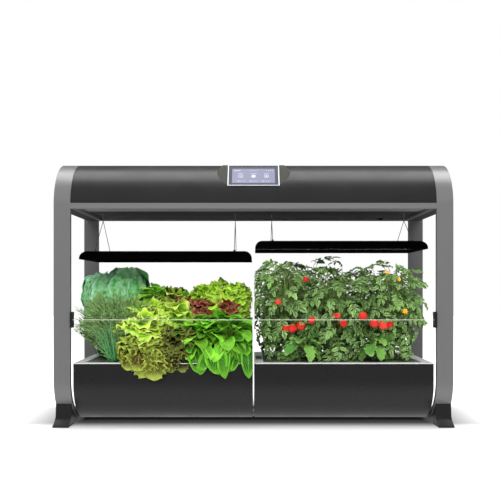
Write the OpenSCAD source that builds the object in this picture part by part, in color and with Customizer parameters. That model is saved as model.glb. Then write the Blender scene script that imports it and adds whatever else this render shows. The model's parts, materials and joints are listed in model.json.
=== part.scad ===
/* [Side loops] */
// Width over both side loops
overall_w = 914.4; // [860:2:980]
// Height of the top of the loops
overall_h = 615; // [590:1:680]
// Depth of the loops, front to back
loop_depth = 288; // [276:2:320]
// Width of each band, across the front
loop_w = 38; // [36:0.5:52]
// Thickness of the band
loop_t = 10; // [8:0.5:12]
// Outer corner radius of the loops, hood and bowls
loop_r = 105; // [95:1:115]
// Height of the underside of the loops
loop_lift = 5; // [4.5:0.1:6]

/* [Feet] */
// Height of the feet on the loops
foot_h = 50; // [40:1:60]
// Width of each foot
foot_w = 36; // [28:0.5:36]
// How far the feet reach out in front of the loops and behind them
foot_flare = 10; // [4:1:20]
// Thickness of the rubber pads
pad_t = 2.5; // [2:0.1:3]
// Length of each rubber pad
pad_l = 50; // [30:1:70]

/* [Hood] */
// Height of the hood, from its underside to the top of the loops
hood_h = 115.4; // [115:0.2:135]
// Height of the rails round the underside
rail_h = 13; // [12.8:0.2:20]
// Width of the rails
rail_w = 12; // [10:0.5:16]
// Wall of the hood shell
shell_t = 3; // [2:0.5:4]
// Thickness of the ceiling panel
ceiling_t = 3; // [2:0.5:4]
// How far the hood end panels lie inside the loops' outer faces
end_inset = 8; // [4:1:20]
// Wall of the hood end panels
end_t = 2.5; // [2:0.5:4]

/* [Display] */
// Width of the display bezel
bezel_w = 121; // [100:1:130]
// Height of the bezel, along its slope
bezel_h = 71.8; // [64:0.2:74]
// Width of the bezel's rim
bezel_rim = 3; // [2:0.5:5]
// Width of the pod at its widest
pod_w = 168; // [160:1:190]
// Depth of the pod into the hood
pod_depth = 16; // [14:1:20]
// Slope of the pod's face from the horizontal
pod_tilt = 51.2; // [48:0.1:54]
// Distance of the pod's foot behind the front of the loops
pod_y = 9; // [8:0.5:11]
// How far the pod's foot lies below the top of the loops
pod_drop = 63; // [59:0.5:67]

/* [Lamps] */
// How far a lamp's ends stand in from the ends of its bowl
lamp_margin = 2.35; // [1.5:0.05:14]
// Depth of each lamp
lamp_d = 200; // [180:2:240]
// Height of each lamp
lamp_h = 20; // [19:0.5:26]
// Radius of the lamps' long upper edges
lamp_r = 15; // [8:0.5:16]
// Radius of the lamps' round ends
lamp_end_r = 18.5; // [8:0.5:18.5]
// Wall of the lamp housing
lamp_t = 2; // [1.5:0.25:3]
// How far the top of the left lamp hangs below the hood
hang_left = 94; // [28:0.5:100]
// How far the top of the right lamp hangs below the hood
hang_right = 69.5; // [24:0.5:72]
// LED chips along each lamp
led_columns = 10; // [4:1:12]
// LED chips across each lamp
led_rows = 4; // [2:1:6]
// Width of an LED chip
led_w = 6; // [4:0.5:8]

/* [Lift] */
// Distance of the inner hangers from the lamp's inner end
hanger_from_inner = 41.65; // [38:0.05:56]
// Distance of the outer hangers from the lamp's outer end
hanger_from_outer = 34.95; // [28:0.05:60]
// Distance of the eyelets from the lamp's front and back
eyelet_inset = 15; // [14:0.5:30]
// Radius of the wires
wire_r = 0.6; // [0.4:0.05:0.8]
// How far below the hood the wires of each V meet
wire_apex_drop = 14; // [10:0.5:15]
// Radius of the gripper's tube
gripper_r = 1.8; // [1.5:0.1:2.5]
// Radius of the lift shafts
shaft_r = 4; // [3:0.25:6]
// Radius of the cable drums under the cable
drum_r = 12; // [10:0.5:14]
// Height of the lift shafts above the underside of the hood
shaft_up = 47; // [42:1:58]

/* [Trellis] */
// Height of the trellis string
string_z = 245.3; // [230:0.1:260]
// Radius of the string
string_r = 0.8; // [0.6:0.05:1.2]
// Height of the trellis clips
clip_h = 36; // [28:1:44]
// How far the clips stand in from the loops
clip_w = 6; // [4:0.5:7]
// How far the trellis can be raised
trellis_up = 120; // [60:5:140]
// How far the trellis can be lowered
trellis_down = 50; // [20:5:60]
// Radius of the bead in the middle of the string
bead_r = 2.5; // [2:0.25:4]

/* [Bowls] */
// Height of the top of the deck
deck_z = 145.6; // [140:0.2:156]
// Wall of the bowls
bowl_t = 3; // [2:0.5:3.5]
// Gap between the bowls
bowl_gap = 3; // [2:0.5:5]
// Gap between each bowl and its loop
side_gap = 6; // [2:0.5:6]
// Radius of the bowls' upright edges
bowl_edge_r = 4; // [3.5:0.5:8]
// Depth of each support rail under the bowls
beam_w = 12; // [10:1:14]
// Height of each support rail
beam_h = 8; // [7.5:0.5:9]
// Distance of the support rails from the centre line
beam_y = 28; // [24:1:28]

/* [Deck] */
// Width of the rim between the panel and the bowl's inner end
panel_in = 21.5; // [21:0.5:24]
// Width of the rim between the panel and the bowl's outer end
panel_out = 21.2; // [20:0.1:26]
// Width of the rim in front of the panel
panel_front = 25; // [22:1:28]
// Width of the rim behind the panel
panel_back = 45; // [42:1:52]
// Thickness of the deck panel
panel_t = 3; // [2:0.5:3.5]
// How far the panel lies below the rim
panel_drop = 3; // [2.4:0.1:3]
// Height of the deck rim
rim_h = 9.6; // [9.2:0.1:12]
// Thickness of the rim's flange over the bowl's edge
flange_t = 1.2; // [1:0.1:1.6]

/* [Fill doors] */
// Width of the fill opening
port_w = 15.2; // [14:0.1:15.2]
// Length of the fill opening
port_l = 86; // [60:1:100]
// Radius of the door's pivot pins
pivot_r = 1.2; // [1:0.1:1.4]
// Thickness of the door
door_t = 2.4; // [1.8:0.1:2.6]

/* [Pods] */
// Distance of the first pod from the panel's inner edge
pod_from_in = 38.35; // [34:0.05:40]
// Distance of the last pod from the panel's outer edge
pod_from_out = 22.65; // [21:0.05:28]
// Distance of the front and back rows of pods from the panel's edges
pod_from_edge = 34; // [32:1:38]
// Radius of the pod's label and flange
label_r = 19; // [17:0.5:20]
// Radius of the basket under the deck
basket_r = 16; // [14:0.5:16.5]
// Depth of the basket under the deck panel
basket_h = 47; // [36:1:55]
// Wall of the basket
basket_t = 1.5; // [1:0.25:2]
// Radius of the hole in the label
label_hole_r = 6; // [5:0.5:9]
// Thickness of the label
label_t = 0.5; // [0.3:0.1:1]

/* [Pumps] */
// Radius of the pump housing
pump_r = 24; // [20:1:28]
// Height of the pump housing
pump_h = 34; // [30:1:44]
// Wall of the pump housing
pump_t = 2.5; // [2:0.5:3]
// Thickness of the filter foam round it
filter_t = 4; // [3:0.5:6]
// Radius of the impeller
impeller_r = 14; // [10:1:16]

/* [Plants] */
// Gap between neighbouring plants in a row
plant_gap = 4; // [3:0.5:20]
// Gap between the tallest plant in the left bowl and its lamp
headroom_left = 13.5; // [13:0.5:50]
// Gap between the tallest plant in the right bowl and its lamp
headroom_right = 10; // [9:0.5:70]
// Height of the broad-leaved salads in front of the tomatoes
salad_h = 62; // [40:2:90]
// Radius of the stems
stem_r = 3; // [2:0.5:4]

/* [Hidden] */
$fn = 64;

// Clearances
fit = 0.2;        // between fixed pieces that are put together
slide_fit = 0.3;  // round pieces that slide
shaft_fit = 0.05; // round a turning shaft, on the radius
eps = 1;          // how far a cutting shape passes a face

// The loops' faces
half_w = overall_w / 2;
inner_x = half_w - loop_w;
half_d = loop_depth / 2;
loop_mid_y = half_d - loop_t / 2;
bowl_x0 = bowl_gap / 2;
bowl_x1 = inner_x - side_gap;
bowl_x = (bowl_x0 + bowl_x1) / 2;

// Feet: height and distance behind the loop's front plane, down the front of the foot
foot_x = half_w - foot_w;
foot_front = [
    [17.5, foot_h], [14.7, foot_h * 0.42], [8, foot_h * 0.26], [-0.4 * foot_flare, 6],
    [-foot_flare, pad_t + 0.8], [-foot_flare, pad_t]
];
foot_mid = half_w - foot_w / 2;

// Screws
screw_r = 1.8;
screw_head_r = 3.2;
screw_head_h = 2.4;
screw_sink = 1;  // depth of the heads below the loop's face
screw_bite = 9; // length in the second piece
foot_screw_y = 20;
foot_screw_l = 10;
foot_head_h = 1.6;

// Hood
hood_z = overall_h - hood_h;
rail_top = hood_z + rail_h;
ledge_w = 3;
ledge_h = 6;
ceiling_z = hood_z + ledge_h;
ceiling_top = ceiling_z + ceiling_t;
ceiling_x = inner_x - rail_w + ledge_w;
ceiling_y = half_d - rail_w + ledge_w;
end_x = half_w - end_inset;
vent_count = 6;
vent_w = 4;
vent_h = 44;
vent_pitch = 14;
vent_up = 30; // height of the vents above the hood's underside
rear_vent_count = 9;
rear_vent_pitch = 12;
rear_vent_up = 14; // height of the rear vents above the rails
rear_vent_h = 16;
rear_vent_cut = 20; // how far their cut reaches in from the back of the loops

// Display pod, in the plane of its face
pod_z = overall_h - pod_drop;
pod_lobe_r = pod_w / 4;
pod_lobe_v = pod_lobe_r + 2;
pod_margin = 1.2;
pod_t = 2.5;
bezel_seat = 1.5;
bezel_proud = 2;
screen_t = 2.5;
board_w = 105;
board_h = 50;
board_t = 1.6;
board_gap = 5;
post_r = 3;
post_inset = 4;
processor = [18, 18, 1.6];
connector = [7, 22, 3.5];
connector_at = [24, -14];
capacitor_r = 3.5;
capacitor_h = 4;
capacitor_x = [-34, -24];
capacitor_v = 4;

// Power
inlet_from_end = 76.2;
inlet_x = inner_x - inlet_from_end;
inlet_r = 5.5;
inlet_rim = 0.9;
inlet_bore_r = 2.8;
inlet_bore_l = 10;
inlet_pin_r = 1;
inlet_pin_back = 1.5; // depth of the pin's tip in the socket
inlet_pin_root = 0.5; // length of the pin in the socket's floor
inlet_l = 16;
inlet_flange = 1;
supply_size = [120, 62, 30];
supply_gap = 80; // between the supply and the inlet
supply_from_back = 27;
supply_y = half_d - supply_from_back - supply_size[1];
supply_slot = [4, 14];
supply_slot_count = 6;
supply_slot_pitch = 15;
supply_slot_at = [20, 8];

// Lamps
lamp_top_left = hood_z - hang_left;
lamp_top_right = hood_z - hang_right;
lamp_x0 = bowl_x0 + lamp_margin;
lamp_x1 = bowl_x1 - lamp_margin;
lens_up = 8.5;
lens_t = 2;
chip_t = 1.2;
chip_gap = 1.3;
pcb_t = 1.6;
pcb_inset = 7.5;    // along the lamp's sides
pcb_end_inset = 9.6; // at its ends
standoff_r = 3;
standoff_inset = 20;

// Lift
hanger_in = lamp_x0 + hanger_from_inner;
hanger_out = lamp_x1 - hanger_from_outer;
wire_spread = lamp_d / 2 - eyelet_inset;
wire_apex_z = hood_z - wire_apex_drop;
wire_end_h = 3; // height of the eyelets on the lamp
eyelet_r = 2.5;
eyelet_stem_r = 1.5;
gripper_bore_r = wire_r + fit;
collar_r = 5;
collar_h = 2.5;
gripper_top = ceiling_top + 4;
shaft_z = hood_z + shaft_up;
shaft_y = drum_r + wire_r + fit / 2;
flange_r = drum_r + 4;
drum_w = 10;
drum_flange_t = 2;
bracket_t = 4;
bracket_w = 26;
bracket_foot = 12;
bracket_foot_t = 3;
bracket_in = 18;  // distance of the inner brackets from the inner hangers
bracket_out = 14; // distance of the outer brackets from the outer hangers
bracket_x = [hanger_in - bracket_in, hanger_out + bracket_out];
shaft_x = [bracket_x[0] - bracket_t, bracket_x[1] + bracket_t];
motor_r = 20;
motor_w = 24;
motor_foot = 16; // half the depth of a motor's foot
motor_x = (hanger_in + hanger_out) / 2;

// Trellis
slot_w = 3;
slot_deep = 6;
clip_back = 10;  // reach of a clip behind the front of the loop
clip_front = 5;  // reach of a clip in front of it
string_y = -half_d - 3;
string_seat = 3; // length of string held in each clip

// Bowls and deck
bowl_top = deck_z - flange_t;
bowl_edge_least = 0.5; // least radius of an edge drawn in from another
beam_top = loop_lift + beam_h;
groove_gap = 2;
groove_y = beam_y + beam_w / 2 + groove_gap;
panel_x0 = bowl_x0 + panel_in;
panel_w = bowl_x1 - panel_out - panel_x0;
panel_d = loop_depth - panel_front - panel_back;
panel_y = (panel_front - panel_back) / 2;
panel_top = deck_z - panel_drop;
panel_z = panel_top - panel_t;
rim_z = deck_z - rim_h;
rim_ledge = 4;

// Fill doors
port_wall = 1.8; // between the opening and the panel
port_x1 = panel_x0 - port_wall;
port_x0 = port_x1 - port_w;
door_pivot_in = 2.8; // distance of the door's axis from the opening's edge
door_x = port_x1 - door_pivot_in;
barrel_wall = 0.4;
barrel_r = pivot_r + barrel_wall;
barrel_drop = 1; // depth of the barrel's top below the deck
door_z = deck_z - barrel_r - barrel_drop;
door_top = deck_z - slide_fit;
door_gap = 0.4; // round the door
door_l = port_l - 2 * door_gap;
leaf_end = 1; // gap between the door's leaf and its axis
pivot_l = 3;
notch_r = 5;

// Pods: three rows of four, the middle row half a step further out
pod_columns = 4;
pod_pitch_x = (panel_w - pod_from_in - pod_from_out) / (pod_columns - 0.5);
pod_pitch_y = panel_d / 2 - pod_from_edge;
pods = [
    for (row = [-1, 0, 1]) for (i = [0:pod_columns - 1]) [
        panel_x0 + pod_from_in + (i + (row == 0 ? 0.5 : 0)) * pod_pitch_x,
        panel_y + row * pod_pitch_y
    ]
];
cup_t = 1.5;
label_z = panel_top + cup_t;
basket_z = panel_top - basket_h;
sponge_drop = 1; // depth of the sponge's top below the deck panel's
sponge_top = panel_top - sponge_drop;
sponge_gap = 0.3;
window_w = 10;
window_h = 22;
window_up = 6; // height of the basket's windows above its floor

// Pumps
bowl_floor = beam_top + bowl_t;
spindle_r = 1.5;
hub_r = 4;
blade_t = 1.6;
blade_h = 12;
blade_count = 4;
impeller_up = 2; // height of the impeller above the housing's floor
impeller_z = bowl_floor + pump_t + impeller_up;
spindle_gap = 6; // between the spindle and the housing's top
outlet_r = 5;
outlet_t = 1.5;
outlet_h = 12;
pump_slot = [4, 14];
pump_slot_up = 8;
filter_share = 0.7; // share of the housing's height that the filter covers

// Plants: half the width and depth of one plant, the sides and twist of its cross-sections, and
// how far the plants at the bowl's edges lean out of their rows and how much wider they are there
plant_x = pod_pitch_x / 2 - plant_gap / 2;
plant_y = 0.56 * pod_pitch_y;
plant_sides = 20;
plant_twist = 70; // from one cross-section to the next
plant_turn = 37;  // from one plant to the next
front_lean = pod_pitch_y / 7.5;
front_reach = 1.1;
back_lean = 0.24 * pod_pitch_y;
back_reach = 1.24;
side_lean = 0.2 * pod_pitch_x;
side_reach = 1.4;
stem_h = 4;   // length of bare stem above the label
crown_up = 6; // height of the lowest leaves above the label
plants_top_left = lamp_top_left - lamp_h - headroom_left;
plants_top_right = lamp_top_right - lamp_h - headroom_right;

// ---- shared shapes

// Extrudes a drawing of Y and Z along X
module along_x(x0, x1) {
    translate([x0, 0, 0]) rotate([90, 0, 90]) linear_extrude(x1 - x0) children();
}

// Extrudes a drawing of X and Z along Y
module along_y(y0, y1) {
    translate([0, y1, 0]) rotate([90, 0, 0]) linear_extrude(y1 - y0) children();
}

module rounded(a0, a1, b0, b1, r) {
    translate([a0, b0 + r]) square([a1 - a0, b1 - b0 - 2 * r]);
    translate([a0 + r, b0]) square([a1 - a0 - 2 * r, b1 - b0]);
    for (a = [a0 + r, a1 - r]) for (b = [b0 + r, b1 - r]) translate([a, b]) circle(r, $fn = 128);
}

// The loops' outer outline from the side, drawn in by inset
module loop_outline(inset) {
    rounded(
        -half_d + inset, half_d - inset, loop_lift + inset, overall_h - inset, loop_r - inset
    );
}

// A tray's outline: square feet, round shoulders
module shouldered(a0, a1, b0, b1, r) {
    intersection() {
        union() {
            translate([a0, b0]) square([a1 - a0, b1 - b0 - r]);
            translate([a0 + r, b0]) square([a1 - a0 - 2 * r, b1 - b0]);
            for (a = [a0 + r, a1 - r]) translate([a, b1 - r]) circle(r);
        }
        translate([a0, b0]) square([a1 - a0, b1 - b0]);
    }
}

module box(low, high) {
    translate(low) cube(high - low);
}

// Right-hand pieces are drawn on +X and mirrored for the left
module sided(side) {
    mirror([side < 0 ? 1 : 0, 0, 0]) children();
}

module rod_x(x0, x1, y, z, r) {
    translate([x0, y, z]) rotate([0, 90, 0]) cylinder(h = x1 - x0, r = r);
}

module rod_y(y0, y1, x, z, r) {
    translate([x, y1, z]) rotate([90, 0, 0]) cylinder(h = y1 - y0, r = r);
}

// ---- loops and feet

// Places of the side screws: the hood rails' ends, and the support rails' ends
side_screws = concat(
    [for (y = [-1, 1]) [y * loop_mid_y, hood_z + rail_h / 2]],
    [for (y = [-1, 1]) [y * beam_y, loop_lift + beam_h / 2]]
);

module side_loop(side) {
    color("gray") sided(side) difference() {
        along_x(inner_x, half_w) difference() {
            loop_outline(0);
            loop_outline(loop_t);
        }
        // slot for the trellis clip's tongue
        box(
            [inner_x - eps, -loop_mid_y - slot_w / 2, string_z - clip_h / 2 - trellis_down - eps],
            [inner_x + slot_deep, -loop_mid_y + slot_w / 2, string_z + clip_h / 2 + trellis_up + eps]
        );
        for (s = side_screws) {
            rod_x(inner_x - eps, half_w, s[0], s[1], screw_r + fit);
            rod_x(half_w - screw_head_h - screw_sink, half_w + eps, s[0], s[1], screw_head_r + fit);
        }
        for (y = [-1, 1]) translate([foot_mid, y * foot_screw_y, loop_lift - eps])
            cylinder(h = foot_screw_l, r = screw_r + fit);
    }
}

module foot(side) {
    front = [for (p = foot_front) [p[0] - half_d, p[1]]];
    back = [for (i = [len(front) - 1:-1:0]) [-front[i][0], front[i][1]]];
    color([0.16, 0.16, 0.16]) sided(side) difference() {
        along_x(foot_x, half_w) difference() {
            polygon(concat(front, back));
            loop_outline(-fit);
        }
        for (y = [-1, 1]) translate([foot_mid, y * foot_screw_y, 0])
            cylinder(h = foot_h, r = screw_r + fit);
    }
}

module foot_pads() {
    color([0.06, 0.06, 0.06]) for (sx = [-1, 1]) for (sy = [-1, 1])
        sided(sx) mirror([0, sy < 0 ? 1 : 0, 0])
            box([foot_x, half_d + foot_flare - pad_l, 0], [half_w, half_d + foot_flare, pad_t]);
}

module frame_screws() {
    color("silver") for (side = [-1, 1]) sided(side) {
        for (s = side_screws) {
            rod_x(inner_x - screw_bite, half_w - screw_sink, s[0], s[1], screw_r);
            rod_x(
                half_w - screw_sink - screw_head_h, half_w - screw_sink, s[0], s[1], screw_head_r
            );
        }
        for (y = [-1, 1]) translate([foot_mid, y * foot_screw_y, pad_t]) {
            cylinder(h = foot_screw_l, r = screw_r);
            translate([0, 0, -foot_head_h]) cylinder(h = foot_head_h, r = screw_head_r);
        }
    }
}

module support_rails() {
    color("silver") for (sy = [-1, 1]) difference() {
        box(
            [-inner_x, sy * beam_y - beam_w / 2, loop_lift],
            [inner_x, sy * beam_y + beam_w / 2, beam_top]
        );
        for (side = [-1, 1]) sided(side) rod_x(
            inner_x - screw_bite - eps, inner_x + eps, sy * beam_y, loop_lift + beam_h / 2,
            screw_r + fit
        );
    }
}

// ---- hood

module hood_rails() {
    lip_x = inner_x - rail_w;
    lip_y = half_d - rail_w;
    color("gray") difference() {
        box([-inner_x, -half_d, hood_z], [inner_x, half_d, rail_top]);
        box([-lip_x, -lip_y, hood_z - eps], [lip_x, lip_y, rail_top + eps]);
        box([-ceiling_x, -ceiling_y, ceiling_z], [ceiling_x, ceiling_y, rail_top + eps]);
        for (side = [-1, 1]) sided(side) for (sy = [-1, 1]) rod_x(
            inner_x - screw_bite - eps, inner_x + eps, sy * loop_mid_y, hood_z + rail_h / 2,
            screw_r + fit
        );
        rod_y(lip_y - eps, half_d + eps, inlet_x, hood_z + rail_h / 2, inlet_r + fit);
    }
}

module hood_shell() {
    color([0.2, 0.2, 0.2]) difference() {
        along_x(-inner_x, inner_x) difference() {
            loop_outline(0);
            loop_outline(shell_t);
            translate([-half_d - eps, 0]) square([loop_depth + 2 * eps, rail_top]);
        }
        on_pod() translate([0, 0, -pod_depth - eps])
            linear_extrude(2 * pod_depth + eps) pod_outline(pod_margin + fit);
        // slots that let the warm air out at the back
        for (i = [0:rear_vent_count - 1]) translate([
            (i - (rear_vent_count - 1) / 2) * rear_vent_pitch, half_d - rear_vent_cut,
            rail_top + rear_vent_up
        ]) cube([vent_w, 2 * rear_vent_cut, rear_vent_h]);
    }
}

module hood_ceiling() {
    color([0.35, 0.35, 0.35]) difference() {
        box([-ceiling_x + fit, -ceiling_y + fit, ceiling_z], [
            ceiling_x - fit, ceiling_y - fit, ceiling_top
        ]);
        at_hangers() translate([0, 0, ceiling_z - eps])
            cylinder(h = ceiling_t + 2 * eps, r = gripper_r + fit);
        // notch round the power inlet
        box([inlet_x - inlet_r - 2 * fit, half_d - inlet_l - 2 * fit, ceiling_z - eps], [
            inlet_x + inlet_r + 2 * fit, half_d, ceiling_top + eps
        ]);
    }
}

module end_outline(inset) {
    intersection() {
        loop_outline(loop_t + fit + inset);
        translate([-half_d, hood_z + inset]) square([loop_depth, overall_h]);
    }
}

module hood_end(side) {
    color([0.17, 0.17, 0.17]) sided(side) difference() {
        along_x(inner_x, end_x) end_outline(0);
        along_x(inner_x - eps, end_x - end_t) end_outline(end_t);
        for (i = [0:vent_count - 1]) translate([
            end_x - end_t - eps, (i - (vent_count - 1) / 2) * vent_pitch - vent_w / 2,
            hood_z + vent_up
        ]) cube([end_t + 2 * eps, vent_w, vent_h]);
    }
}

// Puts a drawing on the pod's sloping face: X across, Y up the slope, Z out of the hood
module on_pod() {
    translate([0, -half_d + pod_y, pod_z]) rotate([pod_tilt, 0, 0]) children();
}

// The pod's winged outline
module pod_outline(margin) {
    intersection() {
        union() {
            translate([-bezel_w / 2 - margin, -margin]) square([bezel_w + 2 * margin, bezel_h + 2 * margin]);
            for (s = [-1, 1]) translate([s * (pod_w / 2 - pod_lobe_r), pod_lobe_v])
                circle(pod_lobe_r + margin - pod_margin);
        }
        translate([-pod_w, -margin]) square([2 * pod_w, bezel_h + 2 * margin]);
    }
}

module control_pod() {
    color([0.35, 0.36, 0.33]) on_pod() {
        difference() {
            translate([0, 0, -pod_depth]) linear_extrude(pod_depth) pod_outline(pod_margin);
            translate([0, 0, -pod_depth - eps])
                linear_extrude(pod_depth + eps - bezel_seat - pod_t) pod_outline(pod_margin - pod_t);
            translate([-bezel_w / 2 - fit, -fit, -bezel_seat])
                cube([bezel_w + 2 * fit, bezel_h + 2 * fit, bezel_seat + eps]);
        }
        // posts that carry the control board
        for (sx = [-1, 1]) for (v = [-1, 1]) translate([
            sx * (board_w / 2 - post_inset), bezel_h / 2 + v * (board_h / 2 - post_inset),
            -bezel_seat - pod_t - board_gap
        ]) cylinder(h = board_gap, r = post_r);
    }
}

module display_bezel() {
    color([0.85, 0.86, 0.88]) on_pod() translate([-bezel_w / 2, 0, -bezel_seat]) difference() {
        cube([bezel_w, bezel_h, bezel_seat + bezel_proud]);
        translate([bezel_rim, bezel_rim, -eps])
            cube([bezel_w - 2 * bezel_rim, bezel_h - 2 * bezel_rim, bezel_seat + bezel_proud + 2 * eps]);
    }
}

module display_screen() {
    edge = bezel_rim + fit;
    color([0.55, 0.57, 0.75]) on_pod() translate([-bezel_w / 2 + edge, edge, -bezel_seat])
        cube([bezel_w - 2 * edge, bezel_h - 2 * edge, screen_t]);
}

module control_board() {
    color("darkgreen") on_pod() translate([0, bezel_h / 2, -bezel_seat - pod_t - board_gap]) {
        translate([-board_w / 2, -board_h / 2, -board_t]) cube([board_w, board_h, board_t]);
        translate([-processor[0] / 2, -processor[1] / 2, 0]) cube(processor);
        translate([connector_at[0], connector_at[1], 0]) cube(connector);
        for (x = capacitor_x) translate([x, capacitor_v, 0])
            cylinder(h = capacitor_h, r = capacitor_r);
    }
}

module power_supply() {
    color([0.12, 0.12, 0.12])
        translate([inlet_x - supply_gap - supply_size[0], supply_y, ceiling_top]) difference() {
            cube(supply_size);
            for (i = [0:supply_slot_count - 1])
                translate([supply_slot_at[0] + i * supply_slot_pitch, -eps, supply_slot_at[1]])
                    cube([supply_slot[0], supply_size[1] + 2 * eps, supply_slot[1]]);
        }
}

module power_inlet() {
    z = hood_z + rail_h / 2;
    face = half_d + inlet_flange;
    color([0.05, 0.05, 0.05]) {
        difference() {
            union() {
                rod_y(half_d - inlet_l, face, inlet_x, z, inlet_r);
                rod_y(half_d, face, inlet_x, z, inlet_r + inlet_rim);
            }
            rod_y(face - inlet_bore_l, face + eps, inlet_x, z, inlet_bore_r);
        }
        rod_y(
            face - inlet_bore_l - inlet_pin_root, face - inlet_pin_back, inlet_x, z, inlet_pin_r
        );
    }
}

// ---- lift

module at_hangers() {
    for (sx = [-1, 1]) for (x = [hanger_in, hanger_out]) translate([sx * x, 0, 0]) children();
}

module wire_grippers() {
    color("silver") at_hangers() difference() {
        union() {
            translate([0, 0, wire_apex_z]) cylinder(h = gripper_top - wire_apex_z, r = gripper_r);
            translate([0, 0, ceiling_z - collar_h]) cylinder(h = collar_h, r = collar_r);
            translate([0, 0, ceiling_top]) cylinder(h = collar_h, r = collar_r);
        }
        translate([0, 0, wire_apex_z - eps])
            cylinder(h = gripper_top - wire_apex_z + 2 * eps, r = gripper_bore_r);
    }
}

module lift_cables() {
    color("silver") at_hangers() translate([0, 0, wire_apex_z + eps])
        cylinder(h = shaft_z - wire_apex_z - eps, r = wire_r);
}

module shaft_brackets() {
    color("gray") for (side = [-1, 1]) sided(side) for (x = bracket_x) difference() {
        union() {
            box([x, shaft_y - bracket_w / 2, ceiling_top], [
                x + bracket_t, shaft_y + bracket_w / 2, shaft_z
            ]);
            rod_x(x, x + bracket_t, shaft_y, shaft_z, bracket_w / 2);
            box([x, shaft_y - bracket_w / 2, ceiling_top], [
                x + bracket_foot, shaft_y + bracket_w / 2, ceiling_top + bracket_foot_t
            ]);
        }
        rod_x(x - eps, x + bracket_t + eps, shaft_y, shaft_z, shaft_r + shaft_fit);
    }
}

module spring_motors() {
    color([0.3, 0.3, 0.32]) for (side = [-1, 1]) sided(side) difference() {
        union() {
            rod_x(motor_x - motor_w / 2, motor_x + motor_w / 2, shaft_y, shaft_z, motor_r);
            box([motor_x - motor_w / 2, shaft_y - motor_foot, ceiling_top], [
                motor_x + motor_w / 2, shaft_y + motor_foot, shaft_z
            ]);
        }
        rod_x(
            motor_x - motor_w / 2 - eps, motor_x + motor_w / 2 + eps, shaft_y, shaft_z,
            shaft_r + shaft_fit
        );
    }
}

module lift_shaft(side) {
    color("silver") sided(side) rod_x(shaft_x[0], shaft_x[1], shaft_y, shaft_z, shaft_r);
}

module cable_drums(side) {
    color([0.75, 0.75, 0.7]) sided(side) for (x = [hanger_in, hanger_out]) difference() {
        union() {
            rod_x(x - drum_w / 2, x + drum_w / 2, shaft_y, shaft_z, drum_r);
            for (s = [-1, 1]) translate([x + s * (drum_w - drum_flange_t) / 2, 0, 0])
                rod_x(-drum_flange_t / 2, drum_flange_t / 2, shaft_y, shaft_z, flange_r);
        }
        rod_x(x - drum_w, x + drum_w, shaft_y, shaft_z, shaft_r + shaft_fit / 2);
    }
}

// Each V: two straight wires from the gripper down to the lamp's eyelets
module lamp_wires(side, top) {
    low = top + wire_end_h;
    drop = wire_apex_z - low;
    lean = atan2(wire_spread, drop);
    length = norm([wire_spread, drop]);
    color("silver") sided(side) for (x = [hanger_in, hanger_out]) for (s = [-1, 1])
        mirror([0, s < 0 ? 1 : 0, 0]) intersection() {
            translate([x, wire_spread, low]) rotate([lean, 0, 0]) translate([0, 0, -eps])
                cylinder(h = length + 2 * eps, r = wire_r);
            box([x - 2 * eps, 0, low], [x + 2 * eps, wire_spread + 2 * eps, wire_apex_z]);
        }
}

// ---- lamps

module lamp_housing(side, top) {
    low = top - lamp_h;
    board_top = low + lens_up + lens_t + chip_gap + chip_t + pcb_t;
    x0 = lamp_x0;
    x1 = lamp_x1;
    y1 = lamp_d / 2;
    color([0.03, 0.03, 0.03]) sided(side) difference() {
        union() {
            difference() {
                intersection() {
                    along_y(-y1, y1) shouldered(x0, x1, low, top, lamp_end_r);
                    along_x(x0, x1) shouldered(-y1, y1, low, top, lamp_r);
                }
                intersection() {
                    along_y(-y1 + lamp_t, y1 - lamp_t) shouldered(
                        x0 + lamp_t, x1 - lamp_t, low - eps, top - lamp_t, lamp_end_r - lamp_t
                    );
                    along_x(x0 + lamp_t, x1 - lamp_t) shouldered(
                        -y1 + lamp_t, y1 - lamp_t, low - eps, top - lamp_t, lamp_r - lamp_t
                    );
                }
            }
            // standoffs for the board
            for (x = [x0 + standoff_inset, x1 - standoff_inset]) for (s = [-1, 1])
                translate([x, s * (y1 - standoff_inset), board_top])
                    cylinder(h = top - lamp_t / 2 - board_top, r = standoff_r);
        }
        for (x = [hanger_in, hanger_out]) for (s = [-1, 1])
            translate([x, s * wire_spread, top - 2 * lamp_t])
                cylinder(h = 3 * lamp_t, r = eyelet_stem_r + fit);
    }
}

module led_board(side, top) {
    z = top - lamp_h + lens_up + lens_t + chip_gap + chip_t;
    color("white") sided(side) box(
        [lamp_x0 + pcb_end_inset, -lamp_d / 2 + pcb_inset, z],
        [lamp_x1 - pcb_end_inset, lamp_d / 2 - pcb_inset, z + pcb_t]
    );
}

module led_chips(side, top) {
    z = top - lamp_h + lens_up + lens_t + chip_gap;
    pitch_x = (lamp_x1 - lamp_x0 - 2 * pcb_end_inset) / led_columns;
    pitch_y = (lamp_d - 2 * pcb_inset) / led_rows;
    color([0.95, 0.9, 0.6]) sided(side)
        for (i = [0:led_columns - 1]) for (j = [0:led_rows - 1]) translate([
            bowl_x + (i - (led_columns - 1) / 2) * pitch_x - led_w / 2,
            (j - (led_rows - 1) / 2) * pitch_y - led_w / 2, z
        ]) cube([led_w, led_w, chip_t]);
}

module lamp_lens(side, top) {
    z = top - lamp_h + lens_up;
    edge = lamp_t + fit;
    // its edge follows the round shoulders of the tray
    color([0.9, 0.9, 0.95, 0.5]) sided(side) intersection() {
        box([0, -lamp_d, z], [half_w, lamp_d, z + lens_t]);
        along_y(-lamp_d / 2 + edge, lamp_d / 2 - edge)
            shouldered(
                lamp_x0 + edge, lamp_x1 - edge, top - lamp_h, top - edge, lamp_end_r - edge
            );
        along_x(0, half_w) shouldered(
            -lamp_d / 2 + edge, lamp_d / 2 - edge, top - lamp_h, top - edge, lamp_r - edge
        );
    }
}

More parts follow.
